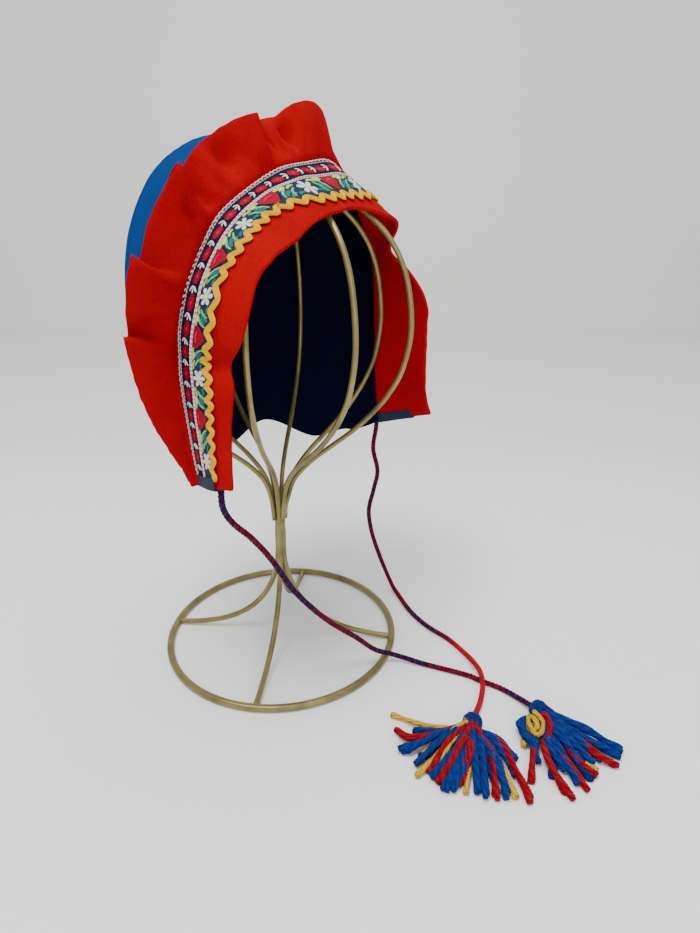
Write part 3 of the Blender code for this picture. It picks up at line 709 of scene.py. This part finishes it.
def steady(rows, at):
    # the rest of a table's row at a place in its first column, on a curve that doesn't overshoot its rows
    k = min(max(bisect_right([row[0] for row in rows], at) - 1, 0), len(rows) - 2)
    span = rows[k + 1][0] - rows[k][0]
    x = min(max((at - rows[k][0]) / span, 0), 1)
    values = []
    for column in range(1, len(rows[0])):
        slopes = []
        for i in (k, k + 1):
            if i in (0, len(rows) - 1):
                slopes.append(0.0)
                continue
            before = (rows[i][column] - rows[i - 1][column]) / (rows[i][0] - rows[i - 1][0])
            after = (rows[i + 1][column] - rows[i][column]) / (rows[i + 1][0] - rows[i][0])
            slopes.append(2 * before * after / (before + after) if before * after > 0 else 0.0)
        low, high = rows[k][column], rows[k + 1][column]
        values.append(low + (high - low) * x * x * (3 - 2 * x) + span * x * (1 - x) * (
            slopes[0] * (1 - x) - slopes[1] * x))
    return values


def crownPoint(share, turn):
    azimuth = 270 - turn if share < 0.5 else 90 + turn
    up = 2 * share if share < 0.5 else 2 * (1 - share)
    neck, neckRadius = eased(hat["neck"], azimuth)
    wall = hat["domeBase"] - neck
    run = up * (wall + dome[-1][2])
    if run <= wall:
        swell = math.sin(math.pi / 2 * run / wall) ** hat["neckSwell"]
        radius, height = neckRadius + (hat["crownRadius"] - neckRadius) * swell, neck + run
    else:
        k = min(max(bisect_right(domeRuns, run - wall) - 1, 0), len(dome) - 2)
        part = (run - wall - dome[k][2]) / (dome[k + 1][2] - dome[k][2])
        radius = dome[k][0] + (dome[k + 1][0] - dome[k][0]) * part
        height = dome[k][1] + (dome[k + 1][1] - dome[k][1]) * part
    angle = math.radians(azimuth)
    return Vector((radius * math.cos(angle), radius * math.sin(angle), height))


def crownSurface(share, back):
    # back is 0 at the seam with the band and 1 at the centre back
    if back >= hat["frontShare"]:
        return crownPoint(share, 90 * (back - hat["frontShare"]) / (1 - hat["frontShare"]))
    part = back / hat["frontShare"]
    start, end = archAt(share)[0], crownPoint(share, 0)
    fall = (1 - part) ** hat["seamFall"]
    return Vector((start.x * (1 - part), end.y + (start.y - end.y) * fall, end.z + (start.z - end.z) * fall))


def bandSurface(share, across):
    seam, edge = archAt(share)
    point = seam.lerp(edge, across)
    outward = Vector((0, point.y, max(point.z - hat["bulgeBase"], 0))).normalized()
    return point + outward * hat["bandBulge"] * math.sin(math.pi * min(max(across, 0), 1))


def lifted(surface, share, other, lift):
    # a point of the surface, moved outwards square to it; other runs across the band or back over the crown
    share0, share1 = max(share - 0.004, 0), min(share + 0.004, 1)
    other0, other1 = max(other - 0.02, 0), min(other + 0.02, 1)
    along = surface(share1, other) - surface(share0, other)
    across = surface(share, other1) - surface(share, other0)
    normal = across.cross(along)
    if surface is crownSurface:
        normal.negate()
    if normal.length < 1e-9:
        normal = Vector((0, 0, 1))
    return surface(share, other) + normal.normalized() * lift


def clothGrid(columns, rows, placeAt, width, length):
    # a flat grid laid on the surface that placeAt(share, other) gives, with the flat cloth as its UV
    mesh = bmesh.new()
    uv = mesh.loops.layers.uv.new("cloth")
    bmesh.ops.create_grid(mesh, x_segments=columns, y_segments=rows, size=0.5)
    for face in mesh.faces:
        for loop in face.loops:
            loop[uv].uv = ((loop.vert.co.x + 0.5) * length * mm, (loop.vert.co.y + 0.5) * width * mm)
    for vert in mesh.verts:
        vert.co = hatPoint(placeAt(vert.co.x + 0.5, 0.5 - vert.co.y))
    return mesh


def addWall(piece, thickness, offset=1.0, rounding=0.0, segments=2, even=True):
    wall = piece.modifiers.new("wall", "SOLIDIFY")
    wall.thickness = thickness * mm
    wall.offset = offset
    wall.use_even_offset = even
    wall.use_quality_normals = True
    if rounding:
        bevel = piece.modifiers.new("roundedEdge", "BEVEL")
        bevel.width = rounding * mm
        bevel.segments = segments
        bevel.limit_method = "ANGLE"
        bevel.angle_limit = math.radians(50)


# share is the place along the seam from flap to flap, back the place from the seam to the neck edge
hang = {
    "cutAway": 0.018,              # of the seam's length, at the left flap
    "cutReach": (0.12, 0.5),       # how far the cut goes, along share and back
    "settled": 3.0,
    "settledAt": (0.27, 0.69),     # share and back of its middle
    "settledOver": (0.13, 0.24),
}


def raised(share, back):
    # the cloth's lower edge is cut away behind the left flap
    shareReach, backReach = hang["cutReach"]
    return share + hang["cutAway"] * max(1 - share / shareReach, 0) * max(1 - back / backReach, 0)


def settled(share, back):
    # the back of the crown's left side hangs closer to the stand than its round does
    (shareAt, backAt), (shareOver, backOver) = hang["settledAt"], hang["settledOver"]
    return hang["settled"] * math.exp(-((back - backAt) / backOver) ** 2 - ((share - shareAt) / shareOver) ** 2)


def soft(point, scale, amount, seed=0.0):
    # a gentle unevenness of the cloth
    return noise.noise(Vector(point) * scale + Vector((seed, seed * 1.7, 3.1))) * amount


crown = {
    "columns": 200,
    "rows": 90,
    "seamTurn": 21.0,        # of the raised seam, in degrees back from the stand's axis
    "seamRise": 0.9,
    "seamWidth": 1.6,
    "flat": (420, 200),
}


def makeCrown():
    frontShare = hat["frontShare"]
    seamBack = frontShare + (1 - frontShare) * crown["seamTurn"] / 90

    def placeAt(share, other):
        back = 1 - other
        share = raised(share, back)
        point = crownSurface(share, back)
        radius = math.hypot(point.x, point.y)
        off = (back - seamBack) * radius * math.pi / 2 / (1 - frontShare)
        ridge = crown["seamRise"] * math.exp(-(off / crown["seamWidth"]) ** 2) - 0.25 * math.exp(
            -((abs(off) - 2.6) / 0.9) ** 2)
        pucker = 0.12 * math.sin(share * 520) * math.exp(-(off / 3.5) ** 2)
        wave = soft(point, 0.022, 2.2) + soft(point, 0.06, 0.7, 5)
        near = min(back / 0.05, 1) * min((1 - abs(2 * share - 1)) / 0.02 + 0.3, 1)
        return lifted(crownSurface, share, back, (wave * 0.6 - settled(share, back)) * near + ridge + pucker)

    mesh = clothGrid(crown["columns"], crown["rows"], placeAt, *crown["flat"])
    bmesh.ops.remove_doubles(mesh, verts=mesh.verts, dist=2e-5)
    piece = finishPiece("crownCloth", mesh, [finishes["blueWool"]], ["crown"])
    addWall(piece, hat["crownCloth"], rounding=0.5, even=False)
    return piece


def makeLining():
    def placeAt(share, other):
        back = (1 - other) * 1.02 - 0.02       # its front edge is hemmed over the band's inside
        share = raised(share, max(back, 0))
        point = crownSurface(share, back)
        near = min(max(back, 0) / 0.1, 1) * min((1 - abs(2 * share - 1)) / 0.06, 1)
        fold = (0.5 - abs(noise.noise(point * 0.03 + Vector((9, 2, 5)))) * 2.2) * near
        hem = 1.3 * max(1 - max(back, 0) / 0.05, 0)
        return lifted(crownSurface, share, max(back, 0), -0.3 - hem - settled(share, back) * near
                      - 0.9 * max(fold + 0.3, 0) * near) + (point - crownSurface(share, max(back, 0)))

    mesh = clothGrid(150, 70, placeAt, *crown["flat"])
    bmesh.ops.remove_doubles(mesh, verts=mesh.verts, dist=2e-5)
    piece = finishPiece("liningCloth", mesh, [finishes["navyLining"]], ["lining"])
    addWall(piece, hat["liningCloth"], offset=-1.0, even=False)
    return piece


band = {
    "columns": 240,
    "rows": 26,
    "start": -0.015,
    "flat": (45, 520),
    # the trimmings' places across the band, as (place along the seam, narrow ribbon's start, border between
    # the two ribbons, braid's middle)
    "lines": [
        (0.00, 0.13, 0.43, 0.69), (0.06, 0.09, 0.395, 0.70), (0.13, 0.055, 0.37, 0.665),
        (0.18, 0.02, 0.335, 0.62), (0.22, 0.015, 0.315, 0.575), (0.28, 0.01, 0.295, 0.59),
        (0.34, 0.015, 0.29, 0.565), (0.385, 0.02, 0.305, 0.66), (0.43, 0.02, 0.385, 0.79),
        (0.48, 0.015, 0.425, 0.82), (0.53, 0.01, 0.41, 0.79), (0.565, 0.01, 0.36, 0.68),
        (0.60, 0.01, 0.30, 0.55), (0.65, 0.02, 0.30, 0.54), (0.80, 0.03, 0.34, 0.62), (1.00, 0.08, 0.41, 0.69)],
}


def bandRelief(share, across):
    # shallow dents and waves of the stiff wool between seam and face edge
    point = bandSurface(share, across)
    return soft(point, 0.045, 0.9, 2) * math.sin(math.pi * min(max(across, 0), 1)) ** 0.5


def bandAt(share, across, lift):
    return lifted(bandSurface, share, across, lift + bandRelief(share, across))


def makeBand():
    def placeAt(share, other):
        across = band["start"] + (1 - band["start"]) * other
        uneven = soft((share * 60, 0, 0), 1.0, 0.012) if other > 0.99 else 0
        return bandAt(share, across + uneven, hat["bandLift"])

    mesh = clothGrid(band["columns"], band["rows"], placeAt, *band["flat"])
    piece = finishPiece("frontBand", mesh, [finishes["redWool"]], ["front_band"])
    addWall(piece, hat["bandCloth"], rounding=1.0, segments=3)
    return piece


crownPiece = makeCrown()
liningPiece = makeLining()
bandPiece = makeBand()
print("crown, lining and band made")


# Ruffle

ruffle = {
    "columns": 700,
    "rows": 20,
    "cloth": 1.6,
    "seat": 4.0,
    "before": 0.2,
    "foot": 0.14,            # share of the ruffle's width
    "footBefore": 0.035,
    "footLift": 1.9,
    "flat": (34, 620),
    # a row for each crest or hollow: place along the seam, width, lean backwards in degrees, push along it
    "pleats": [
        (0.000, 3, 10, 0), (0.045, 10, 18, 0), (0.084, 16, 22, 0), (0.146, 23.2, 15, 2), (0.178, 28.8, 2, 7),
        (0.197, 24, 30, -3), (0.220, 27, 15, 2), (0.241, 31, -2, 9), (0.260, 23, 40, -6),
        (0.286, 25.6, 24, 1), (0.303, 27, 10, 5), (0.317, 28.8, -3, 11), (0.334, 24.5, 40, -6),
        (0.357, 26.5, 21, 0), (0.378, 28.4, 24, 0), (0.405, 28.1, 17, 2), (0.429, 26.5, 6, 5),
        (0.449, 27, 32, -5), (0.483, 26.8, 28, -1), (0.497, 28.6, 18, 1), (0.524, 30.4, 13, 2),
        (0.540, 30, 18, 1), (0.560, 32, 40, -2), (0.600, 30, 50, -2), (0.645, 31, 50, -2), (0.690, 31, 30, 2),
        (0.735, 31, 46, -1), (0.780, 31, 26, 3), (0.825, 30, 46, -1), (0.870, 27, 24, 2), (0.915, 20, 36, 0),
        (0.960, 11, 24, 0), (1.000, 3, 15, 0)],
    # dents in the frill: place along the seam and outwards, size both ways, lean backwards added in degrees
    "dents": [
        (0.385, 0.45, 0.012, 0.30, 24), (0.312, 0.32, 0.007, 0.25, 22), (0.330, 0.20, 0.005, 0.2, 14),
        (0.484, 0.50, 0.009, 0.26, 21), (0.455, 0.45, 0.0035, 0.30, 17), (0.467, 0.22, 0.0035, 0.2, 18),
        (0.405, 0.25, 0.005, 0.25, 8), (0.230, 0.25, 0.006, 0.3, 8), (0.205, 0.30, 0.005, 0.3, 7)],
    "gathers": 40,
    "gatherDepth": 7.0,      # degrees of lean, at the seam
}


def ruffleAt(share, out):
    if out < 0:      # the foot, turned down onto the band in front of the seam
        foot = bandAt(share, steady(band["lines"], share)[0] - ruffle["footBefore"], ruffle["footLift"])
        return ruffleAt(share, 0).lerp(foot, math.sin(-out / ruffle["foot"] * math.pi / 2))
    seam = archAt(share)[0]
    tangent = (archAt(min(share + 0.01, 1))[0] - archAt(max(share - 0.01, 0))[0]).normalized()
    outward = Vector((1, 0, 0)).cross(tangent).normalized()
    backward = Vector((-1, 0, 0))
    width, lean, push = steady(ruffle["pleats"], share)
    base = seam - backward * ruffle["before"] + outward * ruffle["seat"]
    gather = math.sin(share * ruffle["gathers"] * math.tau + 5 * noise.noise(Vector((share * 14, 0, 0))))
    gather *= ruffle["gatherDepth"] * (1 - out) ** 1.3 * min(out / 0.1, 1) * (0.5 + 0.5 * math.sin(share * 41))
    wave = noise.noise(Vector((share * 24, out * 1.4, 4))) * 4 * out
    for along, across, length, height, depth in ruffle["dents"]:
        wave += depth * math.exp(-((share - along) / length) ** 2 - ((out - across) / height) ** 2)
    angle = math.radians(lean + gather + wave)
    curl = math.radians(6 * (1 - 2 * out) * out)
    reach = outward * math.cos(angle - curl) + backward * math.sin(angle - curl)
    edge = noise.noise(Vector((share * 110, 7, 1))) * 0.6 * (out > 0.97)
    return base + reach * (width * out + edge) + tangent * push * out ** 1.6


def makeRuffle():
    def placeAt(share, other):
        return ruffleAt(share, 1 - other * (1 + ruffle["foot"]))

    mesh = clothGrid(ruffle["columns"], ruffle["rows"], placeAt, *ruffle["flat"])
    piece = finishPiece("ruffleCloth", mesh, [finishes["redWool"]], ["ruffle"])
    addWall(piece, ruffle["cloth"], offset=0.0, rounding=0.4, even=False)
    return piece


rufflePiece = makeRuffle()
print("ruffle made")


# Ribbons: motifs are drawn flat, x along and y across in millimetres, then laid on the band

ribbons = {
    "lift": 1.5,
    "cloth": 0.45,
    "trim": 6.5,                # the ribbons end this far above the flaps' ends
    "narrowWidth": 13.5,
    "narrowRepeat": 12.6,
    "narrowPhase": 12.2,
    "floralWidth": 13.5,
    "floralRepeat": 49.3,
    "floralShift": 1.2,
    # where the floral ribbon's pattern, measured along the cloth, comes to lie along the seam
    "floralRun": [
        (-24.6, -35), (0, -10), (24.6, 15.1), (49.3, 40.3), (74, 65.7), (98.6, 90.8), (123.2, 108),
        (147.9, 127), (172.5, 151.5), (197.2, 175.6), (221.8, 199.7), (246.5, 225.8), (271, 251), (296, 276),
        (345, 325), (394, 372), (443, 420), (492, 468), (541, 516)],
}
firstAlong, lastAlong = ribbons["trim"], seamLength - ribbons["trim"]
archRun = lastAlong - firstAlong


def acrossAt(along, ribbon, y):
    # y runs over the ribbon's own width from its edge at the seam side
    start, border, braid = steady(band["lines"], along / seamLength)
    if ribbon == "narrow":
        return start + (border - start) * y / ribbons["narrowWidth"]
    return border + (braid - border) * y / ribbons["floralWidth"]


def onBand(along, across, lift):
    return bandAt(min(max(along / seamLength, 0), 1), across, lift)


def makeRibbon(name, ribbon, finish, node):
    width = ribbons[ribbon + "Width"]

    def placeAt(share, other):
        along = firstAlong + share * archRun
        return onBand(along, acrossAt(along, ribbon, other * width), ribbons["lift"])

    mesh = clothGrid(300, 6, placeAt, width, archRun)
    piece = finishPiece(name, mesh, [finishes[finish]], [node])
    addWall(piece, ribbons["cloth"])
    return piece


def raiseMotif(mesh, verts, slot, height):
    faces = list({face for vert in verts for face in vert.link_faces})
    for face in faces:
        face.material_index = slot
        if face.normal.z < 0:
            face.normal_flip()
    solid = bmesh.ops.extrude_face_region(mesh, geom=faces)
    bmesh.ops.translate(mesh, verts=[item for item in solid["geom"] if isinstance(item, bmesh.types.BMVert)],
                        vec=(0, 0, height))


def addShape(mesh, slot, x, y, length, width, turn=0.0, taper=0.0, segments=12, height=0.4):
    # a petal or bud: a disc, tapered towards its tip, turned and moved
    made = bmesh.ops.create_circle(mesh, cap_ends=True, segments=segments, radius=1)["verts"]
    for vert in made:
        px, py = vert.co.x, vert.co.y
        vert.co = Vector((px * length / 2, py * width / 2 * (1 - taper * px), 0))
    bmesh.ops.rotate(mesh, verts=made, cent=(0, 0, 0), matrix=Matrix.Rotation(math.radians(turn), 3, "Z"))
    bmesh.ops.translate(mesh, verts=made, vec=(x, y, 0))
    raiseMotif(mesh, made, slot, height)


def addStroke(mesh, slot, stops, width, height=0.45):
    # an embroidered line through the stops, pointed at both ends
    steps = 8
    made = bmesh.ops.create_grid(mesh, x_segments=steps, y_segments=1, size=0.5)["verts"]
    points = [Vector((x, y, 0)) for x, y in stops]
    for vert in made:
        share, side = vert.co.x + 0.5, vert.co.y * 2
        at = share * (len(points) - 1)
        here = smoothCurve(points, at)
        ahead = smoothCurve(points, min(at + 0.05, len(points) - 1)) - smoothCurve(points, max(at - 0.05, 0))
        ahead.normalize()
        half = width / 2 * (0.35 + 0.65 * math.sin(math.pi * share) ** 0.6 if 0 < share < 1 else 0.35)
        vert.co = here + Vector((-ahead.y, ahead.x, 0)) * side * half
    raiseMotif(mesh, made, slot, height)


def layOnBand(mesh, ribbon, alongOf):
    uv = mesh.loops.layers.uv.verify()
    base = ribbons["lift"] + ribbons["cloth"] - 0.1
    for face in mesh.faces:
        for loop in face.loops:
            loop[uv].uv = (loop.vert.co.x * mm, loop.vert.co.y * mm)
    for vert in mesh.verts:
        along = alongOf(vert.co.x)
        vert.co = hatPoint(onBand(along, acrossAt(along, ribbon, vert.co.y), base + vert.co.z))
    bmesh.ops.recalc_face_normals(mesh, faces=mesh.faces)


motifColours = ["crimson", "white", "pink", "green", "teal", "limeGreen", "paleYellow", "navyGround",
                "lightGreen", "brightRed"]
slots = {name: k for k, name in enumerate(motifColours)}

narrow = {
    # the lozenge's stitched rows: place along it, half its width there
    "lozenge": [(-3.3, 1.7), (-2.2, 2.6), (-1.1, 3.1), (0, 3.25), (1.1, 3.1), (2.2, 2.6), (3.3, 1.7)],
    # the sprig's strokes: width, then stops (x from the sprig, y across)
    "sprig": [(0.95, (1.6, 5.9), (0.2, 8.0), (-1.7, 9.8)), (0.8, (1.7, 6.1), (0.6, 5.0), (-0.6, 4.4)),
              (0.75, (0.3, 6.7), (-1.9, 6.9))],
}


def makeNarrowMotifs():
    mesh = newMesh()
    repeat = ribbons["narrowRepeat"]
    sprig = firstAlong + (ribbons["narrowPhase"] - firstAlong) % repeat
    while sprig < lastAlong + repeat / 2:
        # a crimson lozenge in stitched rows, and above it a white sprig of three strokes
        lozenge = sprig - repeat / 2
        if firstAlong + 3 < lozenge < lastAlong - 3:
            for row, half in narrow["lozenge"]:
                addShape(mesh, slots["crimson"], lozenge + row, 7.4, 1.2, half * 2, segments=8, height=0.45)
            addShape(mesh, slots["brightRed"], lozenge, 7.4, 1.8, 1.2, segments=8, height=0.55)
        if firstAlong + 3 < sprig < lastAlong - 3:
            for width, *stops in narrow["sprig"]:
                addStroke(mesh, slots["white"], [(sprig + along, across) for along, across in stops], width)
        sprig += repeat
    layOnBand(mesh, "narrow", lambda x: x)
    return finishPiece("narrowMotifs", mesh, [finishes[name] for name in motifColours], (),
                       smooth=False)


floral = {
    # one side of a bud, mirrored to its other side: colour, width, then stops (x from the bud, y across)
    "strokes": [
        ("limeGreen", 2.1, (6.6, 1.6), (10.5, 0.9), (14.5, 1.5)),
        ("lightGreen", 1.3, (6.6, 9.2), (8.6, 5.4), (12.4, 3.0)),
        ("teal", 2.2, (8.4, 8.8), (11.0, 6.2), (14.2, 5.4)),
        ("green", 1.5, (10.2, 10.4), (12.2, 8.2), (15.4, 7.6)),
        ("lightGreen", 1.2, (12.6, 9.8), (14.2, 6.2), (17.6, 3.6)),
        ("teal", 1.6, (15.4, 9.6), (17.2, 8.2), (19.6, 8.6)),
        ("limeGreen", 1.5, (14.4, 3.2), (17.0, 1.6), (19.6, 1.8)),
        ("paleYellow", 1.1, (9.4, 3.0), (11.4, 2.2), (13.2, 2.6)),
        ("navyGround", 0.9, (3.4, 8.2), (6.2, 5.4), (7.6, 3.2)),
    ],
    "petals": 6,
}


def alongOf(x):
    return steady(ribbons["floralRun"], x)[0] + ribbons["floralShift"]


def makeFloralMotifs():
    mesh = newMesh()
    repeat = ribbons["floralRepeat"]
    number = 0
    while alongOf(number * repeat / 2) < lastAlong - 4:
        x = number * repeat / 2
        here = alongOf(x)
        if number % 2:
            if here > firstAlong + 4:
                for petal in range(floral["petals"]):
                    angle = petal * math.tau / floral["petals"] + 0.5
                    addShape(mesh, slots["white"], x + 3.1 * math.cos(angle), 5.8 + 3.1 * math.sin(angle), 3.9,
                             2.3, turn=math.degrees(angle), taper=-0.2, segments=10, height=0.5)
                addShape(mesh, slots["paleYellow"], x, 5.8, 2.8, 2.8, segments=10, height=0.7)
                addStroke(mesh, slots["paleYellow"], [(x, 7.0), (x + 0.5, 10.5)], 1.6)
        else:
            if here > firstAlong + 7:
                addShape(mesh, slots["crimson"], x, 5.0, 9.6, 12.6, turn=90, taper=0.5, segments=20,
                         height=0.45)
                addStroke(mesh, slots["brightRed"], [(x - 3.5, 3.4), (x, 2.6), (x + 3.5, 3.4)], 0.9, 0.6)
            for way in (-1, 1):
                for colour, width, *stops in floral["strokes"]:
                    placed = [(x + way * along, across) for along, across in stops]
                    if min(alongOf(along) for along, across in placed) > firstAlong + 1 and max(
                            alongOf(along) for along, across in placed) < lastAlong - 1:
                        addStroke(mesh, slots[colour], placed, width)
        number += 1
    layOnBand(mesh, "floral", alongOf)
    return finishPiece("floralMotifs", mesh, [finishes[name] for name in motifColours], (),
                       smooth=False)


def addThread(mesh, ribbon, y, size, slot, sway, pitch):
    # a raised thread along a ribbon, straight or in loops
    steps = round(archRun / (pitch / 10 if sway else 1.2))
    points = []
    for k in range(steps + 1):
        along = firstAlong + archRun * k / steps
        angle = math.tau * along / pitch
        placed = along + sway * 0.7 * math.sin(angle)
        across = acrossAt(min(max(placed, firstAlong), lastAlong), ribbon, y - sway * math.cos(angle))
        lift = ribbons["lift"] + ribbons["cloth"] + size * 0.35 + 0.3 * abs(sway) * math.sin(angle)
        points.append(hatPoint(onBand(placed, across, lift)))
    addTube(mesh, points, lambda share, angle: size * mm, 7, slot)


def stripedMaterial(name, first, plyGrooveShade, perMetre):
    # a two-coloured twisted thread
    made, tree, shader = newMaterial(name)
    along, turn = clothUv(tree)
    turns = calculated(tree, "MULTIPLY_ADD", along, perMetre, turn)
    wave = calculated(tree, "SINE", calculated(tree, "MULTIPLY", turns, math.tau))
    tree.links.new(mixColours(tree, ranged(tree, wave, -0.4, 0.4), first, plyGrooveShade), shader.inputs["Base Color"])
    shader.inputs["Roughness"].default_value = 0.7
    shader.inputs["Specular IOR Level"].default_value = 0.2
    addBump(tree, shader, wave, 0.6, 0.0003)
    return made


# looped picot at the ruffle, a grey twist beside it, and the pink and white braid over the ribbons' border,
# as (across, radius, slot, sway, pitch)
edgings = [(0.3, 0.42, 0, 0.6, 3.2), (1.9, 0.4, 1, 0.0, 1.0), (12.2, 0.45, 2, 0.0, 1.0),
           (13.3, 0.4, 2, 0.0, 1.0)]


def makeEdgings():
    mesh = newMesh()
    for edging in edgings:
        addThread(mesh, "narrow", *edging)
    return finishPiece("ribbonEdgings", mesh, [
        stripedMaterial("picotThread", (0.78, 0.4, 0.36, 1), (0.7, 0.62, 0.58, 1), 120.0),
        stripedMaterial("greyTwist", (0.5, 0.47, 0.46, 1), (0.2, 0.17, 0.2, 1), 480.0),
        stripedMaterial("pinkBraid", (0.75, 0.72, 0.7, 1), (0.6, 0.3, 0.33, 1), 420.0)], ())


ribbonPieces = [makeRibbon("narrowRibbon", "narrow", "navyGround", "ribbon_narrow"),
                makeRibbon("floralRibbon", "floral", "tealGround", "ribbon_floral"),
                makeNarrowMotifs(), makeFloralMotifs(), makeEdgings()]
print("ribbons made")


ricRac = {
    "swing": 1.7,
    "stroke": 1.15,        # half the braid's width
    "cloth": 0.8,
    "gap": 0.45,           # over the ribbon
    # the teeth's pitch at places along the seam, both in millimetres
    "pitch": [(0, 8.3), (140, 8.4), (165, 9.2), (200, 11), (235, 12.5), (260, 13), (330, 11), (470, 10)],
}


def makeRicRac():
    teeth = [firstAlong]
    while teeth[-1] < lastAlong - 6:
        teeth.append(teeth[-1] + steady(ricRac["pitch"], teeth[-1])[0])
    waves = len(teeth) - 1
    run = list(enumerate(teeth))

    def placeAt(share, other):
        side = 2 * other - 1
        angle = math.tau * waves * share
        swing = ricRac["swing"] * (math.sin(angle) - math.sin(3 * angle) / 11)
        middleAlong = steady(run, waves * share)[0]
        pitch = steady(ricRac["pitch"], middleAlong)[0]
        slope = ricRac["swing"] * (math.cos(angle) - 3 * math.cos(3 * angle) / 11) * math.tau / pitch
        lean = math.atan(slope)
        along = middleAlong - math.sin(lean) * side * ricRac["stroke"]
        seam, edge = archAt(min(max(along / seamLength, 0), 1))
        middle = steady(band["lines"], along / seamLength)[2]
        across = middle + (swing + math.cos(lean) * side * ricRac["stroke"]) / (edge - seam).length
        ridge = 0.16 * math.cos(side * math.pi * 2.5) - 0.25 * side ** 4
        return onBand(along, across, ribbons["lift"] + ribbons["cloth"] + ricRac["gap"] + ridge)

    mesh = clothGrid(waves * 16, 8, placeAt, 2 * ricRac["stroke"], archRun)
    piece = finishPiece("ricRacBraid", mesh, [finishes["ricRac"]], ["ric_rac"])
    addWall(piece, ricRac["cloth"], rounding=0.3)
    return piece


ricRacPiece = makeRicRac()


# Bindings: navy tape folded round the ribbons' ends

bindings = {
    "height": 7.2,
    "cloth": 0.8,
    "span": (0.02, 0.66),      # across the band
    "gap": 0.35,               # under the band's end
    "outer": 2.5,              # lift outside and inside the band
    "inner": -1.35,
    "flat": (22, 25),
}


def makeBinding(side):
    end = 0.0 if side == "left" else 1.0
    sign = 1 if side == "left" else -1
    outer, inner = bindings["outer"], bindings["inner"]
    first, last = bindings["span"]

    def placeAt(share, other):
        # fold runs up the outside, under the end and up the inside
        fold = 1 - other
        across = first + (last - first) * (share if side == "left" else 1 - share)
        if fold < 0.42:
            up, lift = bindings["height"] * (1 - fold / 0.42), outer
        elif fold > 0.58:
            up, lift = bindings["height"] * (fold - 0.58) / 0.42, inner
        else:
            turn = (fold - 0.42) / 0.16 * math.pi
            lift = (outer + inner) / 2 + (outer - inner) / 2 * math.cos(turn)
            up = -(outer - inner) / 2 * math.sin(turn) * 0.45 - bindings["gap"]
        point = bandAt(min(max(end + sign * max(up, 0) / seamLength, 0), 1), across, lift)
        if up < 0:
            way = bandSurface(end, across) - bandSurface(end + sign * 0.02, across)
            point += way.normalized() * -up
        return point

    mesh = clothGrid(24, 40, placeAt, *bindings["flat"])
    piece = finishPiece("binding" + side.capitalize(), mesh, [finishes["navyTape"]], ["binding_" + side])
    addWall(piece, bindings["cloth"], rounding=0.25)
    return piece


bindingPieces = [makeBinding("left"), makeBinding("right")]
print("trimmings made")


# Studio

studio = {
    "floorTone": (0.97, 0.97, 0.96, 1),
    "shadedPaperTone": (0.91, 0.915, 0.89, 1),
    "front": -1.6,
    "depth": 1.6,
    "paintedShadeRange": (0.3, 0.48),    # how far behind the hat the painted shade darkens the paper
    "width": 4.0,
    "curve": 0.12,
    "curveSteps": 24,
    "height": 2.4,
    "roomTone": (0.9, 0.91, 0.93, 1),
    "roomLight": 0.63,
}
# name, size, power, location, target, colour
lights = [
    ("keyLight", 0.7, 22, (-0.3, -0.45, 1.7), (0, 0, 0.2), (1.0, 0.99, 0.97)),
    ("fillLight", 1.4, 11.5, (0.5, -1.5, 0.9), (0, 0, 0.2), (0.97, 0.985, 1.0)),
    ("topLight", 1.4, 11.5, (0.2, 0.1, 1.9), (0, 0, 0.1), (1.0, 1.0, 1.0)),
]


def makeFloor():
    # one sheet of paper: flat, curved up in a quarter circle, then upright
    back, curve = studio["depth"], studio["curve"]
    profile = [(studio["front"], 0)]
    for k in range(studio["curveSteps"] + 1):
        turn = math.pi / 2 * k / studio["curveSteps"]
        profile.append((back + curve * math.sin(turn), curve * (1 - math.cos(turn))))
    profile.append((back + curve, curve + studio["height"]))
    last = len(profile) - 1
    mesh = bmesh.new()
    bmesh.ops.create_grid(mesh, x_segments=1, y_segments=last, size=0.5)
    for vert in mesh.verts:
        vert.co = (vert.co.x * studio["width"], *profile[round((vert.co.y + 0.5) * last)])
    bmesh.ops.recalc_face_normals(mesh, faces=mesh.faces)
    data = bpy.data.meshes.new("floor")
    mesh.to_mesh(data)
    mesh.free()
    data.shade_smooth()
    made, tree, shader = newMaterial("paperFloor")
    distance = addNode(tree, "SeparateXYZ", {0: addNode(tree, "TexCoord").outputs["Object"]}).outputs[1]
    # painted shade: from 0.3 to 0.48 m behind the hat the paper's colour turns to a darker tone, which the
    # floor behind and the upright part keep
    paintedShadeMask = ranged(tree, distance, *studio["paintedShadeRange"])
    paper = mixColours(tree, paintedShadeMask, studio["floorTone"], studio["shadedPaperTone"])
    grain = ranged(tree, noiseOf(tree, 3.0), toHigh=0.06)
    tree.links.new(mixColours(tree, grain, paper, (0.5, 0.5, 0.5, 1)), shader.inputs["Base Color"])
    shader.inputs["Roughness"].default_value = 0.85
    shader.inputs["Specular IOR Level"].default_value = 0.2
    data.materials.append(made)
    floor = bpy.data.objects.new("floor", data)
    bpy.context.scene.collection.objects.link(floor)


def addLight(name, size, power, location, target, colour):
    lamp = bpy.data.lights.new(name, "AREA")
    lamp.shape = "DISK"
    lamp.size = size
    lamp.energy = power
    lamp.color = colour
    made = bpy.data.objects.new(name, lamp)
    made.location = location
    made.rotation_euler = (Vector(target) - Vector(location)).to_track_quat("-Z", "Y").to_euler()
    bpy.context.scene.collection.objects.link(made)


makeFloor()
for light in lights:
    addLight(*light)
world = bpy.data.worlds.new("softRoom")
world.use_nodes = True
world.node_tree.nodes["Background"].inputs["Color"].default_value = studio["roomTone"]
world.node_tree.nodes["Background"].inputs["Strength"].default_value = studio["roomLight"]
bpy.context.scene.world = world
print("studio made")
